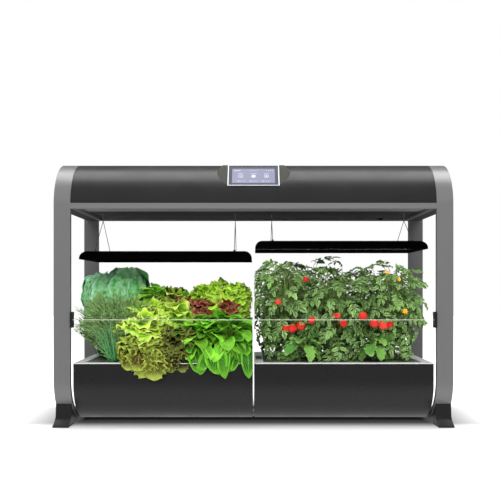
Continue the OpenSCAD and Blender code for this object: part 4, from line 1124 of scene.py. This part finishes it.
def ceiling_panel(name, colour):
    """Dull moulding, pale at the front and painted dark from the hangers back, as shade deep under the hood.
    """
    _, tree, shader = start_finish(name)
    height, mottle = place_effect(tree, make_moulded_grain, Scale=900.0)
    deep = add(tree, "SeparateXYZ", {0: object_place(tree)}).outputs[1]
    grey = blend_colour(tree, spread(tree, mottle, 0.3, 0.7), toned(colour, 0.9), colour)
    # painted shade: the colour falls nearly to black toward the back of the hood
    back = spread(tree, deep, -0.055, -0.015, 0.0, 0.85)
    feed(tree, shader, {
        "Base Color": blend_colour(tree, back, grey, (0.004,) * 3),
        "Roughness": spread(tree, mottle, 0.3, 0.7, 0.6, 0.75),
        "Specular IOR Level": 0.2,
        "Normal": bump(tree, height, 0.02 * MM),
    })


class GARDEN_OT_hood(bpy.types.Operator):
    """Finishes the hood, its ends and ceiling, and the electronics inside"""

    bl_idname = "garden.hood"
    bl_label = "Hood"

    def execute(self, context):
        tone, studio = context.scene.garden_colours, context.scene.garden_studio
        moulded("hood_black", tone.hood, rough=0.4, grain=1000, depth=0.014, wear=0.25, dust=0.06, coat=0.15)
        ceiling_panel("ceiling_grey", tone.ceiling)
        moulded("board_green", srgb(28, 84, 48), rough=0.35, grain=300, dust=0.1)
        moulded("supply_black", srgb(30, 30, 31), rough=0.45)
        dress(["hood_shell", "hood_end_left", "hood_end_right", "hood_ceiling"], studio.edge_round)
        dress(["power_supply", "power_inlet", "control_board"], studio.edge_round * 0.5)
        return {"FINISHED"}


def screen_border(name, colour):
    """Dark glass with faint smears."""
    _, tree, shader = start_finish(name)
    smear = noise(tree, object_place(tree, (1, 3, 1)), 30.0, 4.0)
    feed(tree, shader, {
        "Base Color": blend_colour(tree, smear, colour, toned(colour, 0.85)),
        "Roughness": spread(tree, smear, 0.3, 0.7, 0.06, 0.16),
        "Specular IOR Level": 0.25,
    })


def bright_marks(tall):
    """Three round signs in a row over three small buttons."""
    row, buttons = -3, -tall * 0.3
    return [
        *(ring_mark(5.6, 0.9, 0.25, (x, row)) for x in (-30, 0, 30)),
        *(rounded_plate(2.6, 2.6, 1.25, 0.25, (x, row)) for x in (-30, 30)),
        *(rounded_plate(1.1, 5.4, 0.5, 0.22, (30, row), turn=turn) for turn in (0, 0.785, 1.571, 2.356)),
        rounded_plate(7.0, 7.0, 3.4, 0.24, (0, row)),
        *(rounded_plate(2.4, 2.4, 1.1, 0.3, (x, buttons)) for x in (-34, -6, 22)),
    ]


def dim_marks(wide, tall):
    """Plain bars and dots in rows above and below the signs."""
    top, low = tall * 0.25, -tall * 0.3
    return [
        rounded_plate(15, 2.2, 0.7, 0.22, (-wide * 0.33, top)),
        *(rounded_plate(2.0, 2.0, 0.8, 0.22, (-8 + 4.2 * step, top)) for step in range(5)),
        *(rounded_plate(2.6, 2.0, 0.7, 0.22, (wide * 0.27 + 4.6 * step, top)) for step in range(4)),
        *(rounded_plate(length, 1.3, 0.5, 0.2, (x, 6.5)) for length, x in ((12, -30), (15, 0), (12, 30))),
        *(rounded_plate(22, 1.0, 0.45, 0.2, (x, low)) for x in (-29, 0, 29)),
    ]


class GARDEN_OT_display(bpy.types.Operator):
    """Finishes the display pod and lights its screen with plain marks"""

    bl_idname = "garden.display"
    bl_label = "Display"

    def execute(self, context):
        tone, studio = context.scene.garden_colours, context.scene.garden_studio
        moulded("pod_olive", tone.pod, rough=0.5, grain=1200, depth=0.012, wear=0.2, shine=0.2)
        metal("bezel_silver", tone.bezel, rough=0.3)
        dress(["control_pod"], studio.edge_round * 1.5)
        dress(["display_bezel"], studio.edge_round)
        screen_border("screen_glass", tone.screen_edge)
        plane = face_of("display_screen")
        wide, tall = plane[4]
        lit = rounded_plate(wide - 15, tall - 16, 2, 0.15, (0, -1.5))
        layers = (
            ("display_light", [lit], 0.02, glowing("screen_light", tone.screen, 0.6, srgb(140, 142, 190))),
            ("display_bright_marks", bright_marks(tall), 0.17,
             glowing("display_bright_marks", srgb(244, 246, 255), 1.0)),
            ("display_dim_marks", dim_marks(wide, tall), 0.17,
             glowing("display_dim_marks", srgb(214, 214, 240), 1.0)),
        )
        for name, marks, lift, glow in layers:
            points, faces = raised_marks(marks, plane, lift)
            add_piece(name, points, faces, glow, "frame", smooth=False)
        return {"FINISHED"}


def clear_lens(name):
    """Clear plastic with a slight haze."""
    _, tree, shader = start_finish(name)
    haze = noise(tree, object_place(tree), 60.0, 3.0)
    feed(tree, shader, {
        "Base Color": blend_colour(tree, haze, (0.86, 0.87, 0.88), (0.95, 0.96, 0.97)),
        "Roughness": spread(tree, haze, 0.3, 0.7, 0.08, 0.2),
        "Transmission Weight": 0.85,
        "IOR": 1.49,
    })


def hang_lamp(side, steel):
    """The straight wires of a lamp, in place of its wires node."""
    tubes = Growth()
    for low, high, _ in solids("lamp_wires_" + side):
        x, radius = (low[0] + high[0]) / 2, (high[0] - low[0]) / 2
        for y in {low[1] + radius, high[1] - radius}:
            if abs(y) > 2 * radius:
                tubes.tube(np.array([[x, 0, high[2]], [x, y, low[2]]]), radius * 1.3, 8)
    node = "lamp_wires_" + side
    wires = tubes.build(node + "_taut", steel, "wire_steel", [node], body=None)
    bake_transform(wires)


class GARDEN_OT_lamps(bpy.types.Operator):
    """Finishes the grow lamps and hangs them on straight wires"""

    bl_idname = "garden.lamps"
    bl_label = "Grow lamps"

    def execute(self, context):
        tone, studio = context.scene.garden_colours, context.scene.garden_studio
        moulded("lamp_black", tone.lamps, rough=0.6, grain=1300, wear=0.1, dust=0.0, shine=0.06)
        moulded("board_white", srgb(228, 228, 222), rough=0.45, grain=500, dust=0.1)
        moulded("chip_yellow", srgb(226, 196, 74), rough=0.35, grain=600, dust=0.0)
        clear_lens("lens_clear")
        for side in SIDES:
            dress(["lamp_housing_" + side], studio.edge_round)
            hang_lamp(side, bpy.data.materials["wire_steel"])
        return {"FINISHED"}


def laid_string(name):
    """Pale string with the slanting lay of its strands."""
    _, tree, shader = start_finish(name)
    strands = {"Vector": object_place(tree, (1, 0.6, 0.6)), "Scale": 420.0, "Distortion": 1.5}
    lay = add(tree, "TexWave", strands, bands_direction="DIAGONAL").outputs["Fac"]
    feed(tree, shader, {
        "Base Color": blend_colour(tree, lay, srgb(170, 166, 156), srgb(232, 230, 224)),
        "Roughness": spread(tree, lay, 0, 1, 0.95, 0.75),
        "Normal": bump(tree, lay, 0.3 * MM),
    })


class GARDEN_OT_trellis(bpy.types.Operator):
    """Finishes the trellis string with its bead and its two clips"""

    bl_idname = "garden.trellis"
    bl_label = "Trellis"

    def execute(self, context):
        moulded("clip_black", srgb(28, 28, 29), rough=0.4)
        moulded("bead_white", srgb(232, 230, 222), rough=0.35, dust=0.0)
        laid_string("string_white")
        dress(["trellis_clips"], context.scene.garden_studio.edge_round * 0.5)
        return {"FINISHED"}


class GARDEN_OT_bowls(bpy.types.Operator):
    """Finishes the bowls, their rims, decks, fill doors and pods"""

    bl_idname = "garden.bowls"
    bl_label = "Bowls and decks"

    def execute(self, context):
        tone, studio = context.scene.garden_colours, context.scene.garden_studio
        moulded("bowl_black", tone.bowls, rough=0.3, grain=1300, depth=0.006, wear=0.1, dust=0.0, shine=0.5)
        satin_paint("rim_silver", tone.rims, flake=0.1)
        moulded("deck_black", tone.decks, rough=0.5, grain=900, depth=0.02, dust=0.5)
        moulded("door_black", tone.decks, rough=0.45, dust=0.4)
        moulded("basket_black", srgb(26, 26, 26), rough=0.5)
        soft_foam("sponge_brown", tone.sponges, 900)
        moulded("label_green", tone.labels, rough=0.55, grain=600, wear=0.0, dust=0.2)
        for side in SIDES:
            dress([part + side for part in ("bowl_", "deck_rim_", "deck_panel_", "fill_door_")],
                  studio.edge_round)
        return {"FINISHED"}


class GARDEN_OT_pumps(bpy.types.Operator):
    """Finishes the pumps that stand under water in the bowls"""

    bl_idname = "garden.pumps"
    bl_label = "Pumps"

    def execute(self, context):
        moulded("pump_black", srgb(30, 31, 33), rough=0.35)
        soft_foam("foam_blue", srgb(60, 108, 160), 800)
        dress(["pump_housings"], context.scene.garden_studio.edge_round)
        return {"FINISHED"}


class GARDEN_OT_cabbage(bpy.types.Operator):
    """Grows the savoy cabbage and the round-leaved herb beside it"""

    bl_idname = "garden.cabbage"
    bl_label = "Cabbage"

    def execute(self, context):
        grow = context.scene.garden_planting
        rng = np.random.default_rng(grow.seed)
        round_plant, cabbage = bed("plants_cabbage", "left")
        leaves, stems, rounds = Growth(), Growth(), Growth()
        root = cabbage[2]
        # each head's middle from the root, its radius and its leaves
        for x, y, z, radius, count in ((-66, 8, 152, 52, 11), (-12, 16, 160, 58, 12)):
            heart = root + (x, y, z)
            stems.tube(wander(rng, root, heart - (0, 0, radius * 0.5), 3), np.linspace(8, 6, 9), 10)
            grow_head(leaves, rng, heart, radius, count)
        for number in range(26):
            surface = outer_leaf(rng)
            foot = root + (rng.uniform(-50, 6), rng.uniform(-6, 24), rng.uniform(8, 70))
            leaves.sheet(stood(surface, foot, number * GOLDEN_TURN, rng.normal(0, 0.2)), rng.uniform(0, 1))
        root = round_plant[2]
        mound(leaf_at(rounds, rng, round_leaf), stems, rng, root, root + (-12, -32, 150), (30, 30, 30),
              count=46, size=36, lowest=-0.7, stalk=1.0, bend=(0.6, 1.3))
        green = leaf("leaf_blue_green", grow.cabbage, srgb(22, 122, 46), srgb(186, 250, 200),
                     srgb(206, 255, 216), veins=9, blisters=95, pucker=2.4, net=0.45)
        fresh = leaf("leaf_round_green", grow.round_leaf, srgb(104, 196, 34), srgb(196, 250, 110),
                     srgb(140, 190, 96), veins=6, pucker=0.8, rough=0.35)
        stalk = stem_finish("cabbage_stem", srgb(150, 176, 120))
        where = "leaf_blue_green", ["plants_cabbage"], "left"
        leaves.build("cabbage_leaves", green, *where, grow.leaf_thickness)
        rounds.build("round_leaves", fresh, *where, grow.leaf_thickness)
        stems.build("cabbage_stems", stalk, *where)
        return {"FINISHED"}


class GARDEN_OT_herbs(bpy.types.Operator):
    """Grows the cloud of fine herbs and the chives"""

    bl_idname = "garden.herbs"
    bl_label = "Herbs"

    def execute(self, context):
        grow = context.scene.garden_planting
        rng = np.random.default_rng(grow.seed + 1)
        front, back = bed("plants_herbs", "left")
        threads, needles, blades = Growth(), Growth(), Growth()
        grow_fronds(threads, needles, rng, front[2], front[2] + (0, -12, 92), (88, 42, 82),
                    count=440, spurs=26)
        grow_fronds(threads, needles, rng, back[2], back[2] + (10, -20, 84), (78, 44, 70),
                    count=170, spurs=22)
        grow_chives(blades, rng, front[2] + (-6, -14, 0), tall=104, count=80, lean=0.3)
        grow_chives(blades, rng, front[2] + (16, -6, 0), tall=96, count=50, lean=0.35)
        thread = stem_finish("herb_thread", grow.herb)
        needle = stem_finish("herb_needle", grow.needle)
        blade = leaf("leaf_herb", grow.chive, srgb(36, 104, 46), srgb(120, 190, 140), srgb(130, 200, 150),
                     veins=1, pucker=0.1)
        where = "leaf_herb", ["plants_herbs"], "left"
        threads.build("herb_threads", thread, *where)
        needles.build("herb_needles", needle, *where)
        blades.build("chive_blades", blade, *where, grow.leaf_thickness)
        return {"FINISHED"}


class GARDEN_OT_lettuces(bpy.types.Operator):
    """Grows the lettuces, endives and salad leaves"""

    bl_idname = "garden.lettuces"
    bl_label = "Lettuces"

    def execute(self, context):
        grow = context.scene.garden_planting
        rng = np.random.default_rng(grow.seed + 2)
        # the roots row by row, each row from the middle of the garden out
        roots = [root for _, _, root in bed("plants_lettuce", "left")]
        front_1, front_2, front_3, middle_1, middle_2, middle_3, back_1, back_2 = roots
        kinds = {name: Growth() for name in ("bright", "olive", "dark", "romaine", "endive", "red")}
        stalks = Growth()

        def plant(name, kind, root, x, y, z, radii, count, size, **more):
            """A mound of leaves whose middle is at x, y, z from the root."""
            grow_leaf = leaf_at(kinds[name], rng, kind)
            mound(grow_leaf, stalks, rng, root, root + (x, y, z), radii, count, size, **more)

        def spill(name, kind, root, *places):
            """Leaves that fall forward over the rim, each at a distance across from the root."""
            for x, size in places:
                foot = root + (x, -18 + rng.normal(0, 2), 24 + rng.normal(0, 3))
                surface = kind(rng, size, 0.35, rng.uniform(2.1, 2.4))
                forward = -math.pi / 2 + rng.normal(0, 0.16)
                kinds[name].sheet(stood(surface, foot, forward, rng.normal(0, 0.25)), rng.uniform(0.5, 1.1))

        spill("olive", hanging, front_3, (-48, 66), (-32, 78), (-12, 92), (8, 98), (26, 84), (-2, 76))
        spill("dark", hanging, front_2, (-44, 70), (-28, 76), (-14, 66))
        spill("romaine", spoon, front_2, (20, 94), (4, 74))
        spill("romaine", tall_leaf, front_2, (38, 78), (56, 84))
        spill("romaine", spoon, front_1, (-28, 86))
        spill("romaine", tall_leaf, front_1, (-8, 76), (4, 98), (18, 74), (31, 116), (47, 96))
        plant("olive", frilly, front_3, -14, -24, 34, (50, 36, 34), 62, 46, lowest=-0.75, rise=0.05)
        plant("bright", frilly, middle_3, 22, -74, 72, (58, 42, 40), 56, 50, lowest=-0.6)
        plant("bright", frilly, middle_3, 36, -46, 102, (56, 46, 36), 50, 48, lowest=-0.4)
        plant("bright", frilly, middle_2, -4, -40, 100, (40, 40, 38), 34, 46, lowest=-0.4)
        plant("dark", frilly, front_2, -26, -26, 50, (24, 32, 52), 64, 38, lowest=-0.75, rise=0.1)
        plant("romaine", spoon, front_2, 22, -12, 52, (34, 34, 54), 76, 52, lowest=-0.8, rise=0.0, start=0.7)
        plant("romaine", spoon, front_1, 2, -10, 54, (52, 34, 60), 150, 52, lowest=-0.85, rise=0.0, start=0.7)
        plant("romaine", spoon, middle_1, 6, -40, 72, (66, 36, 36), 62, 52, lowest=-0.5, start=0.7)
        plant("red", tufted, middle_1, -22, -26, 122, (22, 22, 24), 40, 28, lowest=-0.6, start=0.4)
        plant("red", tufted, middle_1, 40, -24, 126, (18, 20, 20), 32, 25, lowest=-0.6, start=0.4)
        plant("endive", tufted, middle_1, 10, -22, 124, (10, 14, 16), 16, 26, lowest=-0.6, start=0.4)
        plant("red", tufted, middle_2, 24, -12, 138, (18, 18, 16), 24, 22, lowest=-0.6, start=0.4)
        plant("bright", tall_leaf, back_2, -2, -24, 108, (16, 16, 30), 8, 62, lowest=0.2, bend=(0.6, 1.2))
        plant("romaine", tall_leaf, back_2, -8, -4, 112, (24, 22, 36), 10, 66, lowest=0.2, bend=(0.6, 1.2))
        plant("bright", frilly, back_2, -54, -30, 142, (22, 20, 22), 16, 34, lowest=-0.6)
        plant("dark", frilly, back_2, -54, -16, 152, (22, 18, 18), 8, 32, lowest=0.1)
        plant("endive", tufted, back_2, 34, -14, 140, (42, 40, 50), 76, 34, lowest=-0.6)
        plant("endive", tufted, back_1, 0, -36, 140, (56, 48, 60), 150, 34, lowest=-0.8)
        plant("endive", endive, back_1, 0, -26, 140, (50, 46, 62), 50, 44, lowest=-0.2)
        plant("endive", endive, back_1, 0, 4, 62, (44, 36, 48), 54, 56, lowest=-0.8, rise=0.4)
        plant("endive", endive, back_2, 6, 6, 60, (40, 34, 46), 44, 54, lowest=-0.8, rise=0.4)
        looks = {
            "bright": leaf("leaf_lettuce", grow.bright, srgb(124, 200, 18), srgb(238, 255, 136),
                           srgb(214, 240, 120), veins=5, blisters=160, pucker=1.2, rough=0.36),
            "olive": leaf("leaf_olive", grow.olive, srgb(70, 62, 18), srgb(190, 208, 88),
                          srgb(190, 204, 100), veins=5, blisters=160, pucker=1.2),
            "dark": leaf("leaf_dark", grow.dark, srgb(30, 20, 10), srgb(134, 146, 64), srgb(130, 130, 74),
                         veins=5, blisters=160, pucker=1.0, rough=0.34),
            "romaine": leaf("leaf_romaine", grow.romaine, srgb(30, 100, 12), srgb(126, 206, 52),
                            srgb(196, 232, 130), veins=9, blisters=200, pucker=1.0, rough=0.36),
            "endive": leaf("leaf_endive", grow.endive, srgb(100, 192, 12), srgb(232, 255, 110),
                           srgb(214, 244, 130), veins=8, pucker=0.6),
            "red": leaf("leaf_red", grow.red, srgb(92, 56, 28), srgb(200, 130, 100), srgb(160, 120, 80),
                        veins=5, pucker=0.8),
        }
        rib = stem_finish("lettuce_rib", srgb(124, 166, 66))
        where = "leaf_lettuce", ["plants_lettuce"]
        for name, kind in kinds.items():
            kind.build(name + "_lettuce", looks[name], *where, "left", grow.leaf_thickness)
        stalks.build("lettuce_stalks", rib, *where, "left")
        broad, ribs = Growth(), Growth()
        for (_, _, root), x in zip(bed("plants_lettuce", "right"), (-32, -40)):
            mound(leaf_at(broad, rng, salad), ribs, rng, root, root + (x, -6, 44), (30, 22, 26),
                  count=14, size=50, lowest=-0.4, rise=-0.3, start=0.6)
        pale = leaf("leaf_salad", srgb(128, 180, 84), srgb(80, 140, 60), srgb(150, 196, 110),
                    srgb(170, 214, 120), veins=8, pucker=0.9)
        broad.build("salad_leaves", pale, *where, "right", grow.leaf_thickness)
        ribs.build("salad_stalks", rib, *where, "right")
        return {"FINISHED"}


class GARDEN_OT_tomatoes(bpy.types.Operator):
    """Grows the tomato bushes with their fruit and flowers"""

    bl_idname = "garden.tomatoes"
    bl_label = "Tomatoes"

    def execute(self, context):
        grow = context.scene.garden_planting
        rng = np.random.default_rng(grow.seed + 3)
        bushes = bed("plants_tomato", "right")
        stems = Growth()
        sprays = [Growth() for _ in bushes]
        # how far each bush's middle lies across and behind its root, and half its width
        leans = (
            (-26, -40, 60), (0, -44, 62), (-34, -36, 54),
            (0, -10, 56), (0, -12, 58), (0, -12, 58), (0, -12, 56),
        )
        for (_, high, root), leaves, (x, y, wide) in zip(bushes, sprays, leans):
            tall = (high[2] - root[2]) / 2
            centre = root + (x, y, tall)
            fork = root + (x * 0.6, y * 0.6, tall * 0.7)
            for _ in range(3):
                tip = centre + (rng.normal(0, 16), rng.normal(0, 12), tall * 0.7)
                stems.tube(wander(rng, root, tip, 8, 12), np.linspace(3.2, 1.2, 12), 6, rng.uniform(0, 1))
            mound(tomato_leaf_at(leaves, stems, rng), stems, rng, fork, centre,
                  (wide, wide * 0.9, tall * 1.12), count=140, size=40, start=0.78, lowest=-0.9, rise=0.1,
                  bend=(0.8, 2.0), stalk=0.8)
        green = leaf("leaf_tomato", grow.tomato, srgb(30, 72, 20), srgb(176, 216, 136), srgb(196, 224, 164),
                     veins=5, blisters=300, pucker=0.7, rough=0.45)
        where = "leaf_tomato", ["plants_tomato"], "right"
        for number, leaves in enumerate(sprays, 1):
            leaves.build("tomato_leaves_%d" % number, green, *where, grow.leaf_thickness)
        stems.build("tomato_stems", stem_finish("tomato_stem", grow.stem), *where)
        fruits, caps, petals = Growth(), Growth(), Growth()
        for x, z, radius in TOMATOES:
            centre = (x, FRUIT_FRONT + radius, z)
            tilt = ribbed_fruit(fruits, centre, radius, rng)
            star_calyx(caps, centre, radius, tilt, rng)
            end = np.array(centre) + (rng.normal(0, 8), 26, 34)
            caps.tube(wander(rng, np.array(centre) + (0, 0, radius * 0.7), end, 3, 6), 0.8, 4)
        for x, z, radius in FLOWERS:
            face = np.array(Euler((1.3, 0, rng.uniform(-0.4, 0.4))).to_matrix())
            star_calyx(petals, (x, FRUIT_FRONT + 6, z), radius * 1.6, face, rng, 7)
        # the lighter second red is partly a painted highlight on the fruit
        ripe = fruit_finish("tomato_skin", grow.fruit, srgb(228, 70, 52))
        petal = fruit_finish("petal", grow.flower, srgb(250, 160, 30))
        fruits.build("tomato_fruits", ripe, *where)
        caps.build("tomato_calyxes", green, *where, grow.leaf_thickness)
        petals.build("tomato_flowers", petal, *where, grow.leaf_thickness)
        return {"FINISHED"}


def lay_floor(scene):
    """White paper with a painted shadow under the garden, blown out round it, as in a product photograph."""
    mesh = bmesh.new()
    bmesh.ops.create_grid(mesh, x_segments=4, y_segments=4, size=FLOOR_REACH)
    floor_mesh = bpy.data.meshes.new("studio_floor")
    mesh.to_mesh(floor_mesh)
    mesh.free()
    floor = bpy.data.objects.new("studio_floor", floor_mesh)
    scene.collection.objects.link(floor)
    floor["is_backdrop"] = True
    paper, tree, shader = start_finish("white_paper")
    path = add(tree, "LightPath").outputs
    low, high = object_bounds()
    wide, depth = high[0] - low[0], high[1] - low[1]
    across, deep, _ = add(tree, "SeparateXYZ", {0: object_place(tree)}).outputs
    across, deep = (maths(tree, "ABSOLUTE", value) for value in (across, deep))
    beside = spread(tree, across, 0.45 * wide, wide / 2 + 0.25)
    beyond = spread(tree, deep, 0.45 * depth, depth / 2 + 0.25)
    far = maths(tree, "POWER", maths(tree, "MAXIMUM", beside, beyond), 0.5)
    # painted shadow: the paper falls to dark grey right under the garden
    under = spread(tree, deep, 0.26 * depth, 0.44 * depth)
    tone = blend_colour(tree, maths(tree, "MAXIMUM", under, beside), (0.12,) * 3, (0.82,) * 3)
    seen = maths(tree, "MAXIMUM", path["Is Camera Ray"], path["Is Transmission Ray"])
    mirrored = times(tree, path["Is Glossy Ray"], spread(tree, deep, 0.5 * depth, 0.45, 0.5, 0.0))
    feed(tree, shader, {
        "Base Color": blend_colour(tree, path["Is Glossy Ray"], tone, (0.2,) * 3),
        "Roughness": 0.9,
        "Specular IOR Level": 0.1,
        "Emission Color": (1, 1, 1, 1),
        "Emission Strength": maths(tree, "MAXIMUM", times(tree, seen, far), mirrored),
    })
    floor_mesh.materials.append(paper)


def hang_lights(scene, studio):
    """A soft box above, and a wide fill in front that leaves no highlight."""
    for name, place, size, power, tilt in (
        ("soft_box_above", (0, -0.05, 2.0), (2.4, 1.0), studio.overhead, 0),
        ("fill_front", (0, -3.1, 1.75), (3.4, 1.2), studio.front, 65),
    ):
        light = bpy.data.lights.new(name, "AREA")
        light.shape, light.size, light.size_y, light.energy = "RECTANGLE", *size, power
        lamp = bpy.data.objects.new(name, light)
        lamp.location, lamp.rotation_euler = place, (math.radians(tilt), 0, 0)
        lamp.visible_glossy = name != "fill_front"
        scene.collection.objects.link(lamp)


def raise_walls(scene, brightness):
    """White walls to look at, dimmer ones to light the garden, and grey ones to be mirrored in it."""
    world = bpy.data.worlds.new("studio_walls")
    scene.world = world
    world.use_nodes = True
    tree = world.node_tree
    tree.nodes.clear()
    path = add(tree, "LightPath").outputs
    height = add(tree, "SeparateXYZ", {0: add(tree, "TexCoord").outputs["Generated"]}).outputs[2]
    dim, white, grey = (
        add(tree, "Background", {"Color": (1, 1, 1, 1), "Strength": strength}).outputs[0]
        for strength in (brightness, 1.0, spread(tree, height, 0.1, 0.9, 0.1, 0.2))
    )
    lit = add(tree, "MixShader", {0: path["Is Glossy Ray"], 1: dim, 2: grey}).outputs[0]
    seen = maths(tree, "MAXIMUM", path["Is Camera Ray"], path["Is Transmission Ray"])
    walls = add(tree, "MixShader", {0: seen, 1: lit, 2: white}).outputs[0]
    add(tree, "OutputWorld", {0: walls})


def place_camera(scene, studio):
    """A level view from the front."""
    sensor = bpy.data.cameras.new("photograph_view")
    sensor.lens, sensor.sensor_width = studio.lens, 36
    sensor.shift_x, sensor.shift_y = studio.shift
    camera = bpy.data.objects.new("photograph_view", sensor)
    camera.location = studio.camera_place
    camera.rotation_euler = (math.pi / 2, 0, 0)
    scene.collection.objects.link(camera)
    scene.camera = camera
    scene.view_settings.view_transform = "Standard"


class GARDEN_OT_studio(bpy.types.Operator):
    """Sets up the floor, the lights, the surroundings and the camera"""

    bl_idname = "garden.studio"
    bl_label = "Studio"

    def execute(self, context):
        scene, studio = context.scene, context.scene.garden_studio
        lay_floor(scene)
        hang_lights(scene, studio)
        raise_walls(scene, studio.surround)
        place_camera(scene, studio)
        return {"FINISHED"}


OPERATORS = (
    GARDEN_OT_loops, GARDEN_OT_rails, GARDEN_OT_hood, GARDEN_OT_display, GARDEN_OT_lamps,
    GARDEN_OT_trellis, GARDEN_OT_bowls, GARDEN_OT_pumps, GARDEN_OT_cabbage, GARDEN_OT_herbs,
    GARDEN_OT_lettuces, GARDEN_OT_tomatoes, GARDEN_OT_studio,
)


class GARDEN_PT_sidebar(bpy.types.Panel):
    """Lists the garden's settings and the steps that dress it"""

    bl_idname = "GARDEN_PT_sidebar"
    bl_label = "Hydroponic garden"
    bl_space_type = "VIEW_3D"
    bl_region_type = "UI"
    bl_category = "Garden"

    def draw(self, context):
        scene = context.scene
        for group in (scene.garden_colours, scene.garden_planting, scene.garden_studio):
            box = self.layout.box()
            for key in group.__annotations__:
                box.prop(group, key)
        for operator in OPERATORS:
            self.layout.operator(operator.bl_idname)


CLASSES = (GardenColours, GardenPlanting, GardenStudio, *OPERATORS, GARDEN_PT_sidebar)


def register():
    for entry in CLASSES:
        bpy.utils.register_class(entry)
    bpy.types.Scene.garden_colours = bpy.props.PointerProperty(type=GardenColours)
    bpy.types.Scene.garden_planting = bpy.props.PointerProperty(type=GardenPlanting)
    bpy.types.Scene.garden_studio = bpy.props.PointerProperty(type=GardenStudio)


def unregister():
    del bpy.types.Scene.garden_colours
    del bpy.types.Scene.garden_planting
    del bpy.types.Scene.garden_studio
    for entry in reversed(CLASSES):
        bpy.utils.unregister_class(entry)


def main():
    """Clears away what isn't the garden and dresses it."""
    kept = set(frame["bodies"].values()) | set(frame["nodes"].values())
    for extra in [item for item in bpy.data.objects if item not in kept]:
        bpy.data.objects.remove(extra)
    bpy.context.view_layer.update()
    register()
    for operator in OPERATORS:
        family, step = operator.bl_idname.split(".")
        getattr(getattr(bpy.ops, family), step)()


if __name__ == "__main__":
    main()
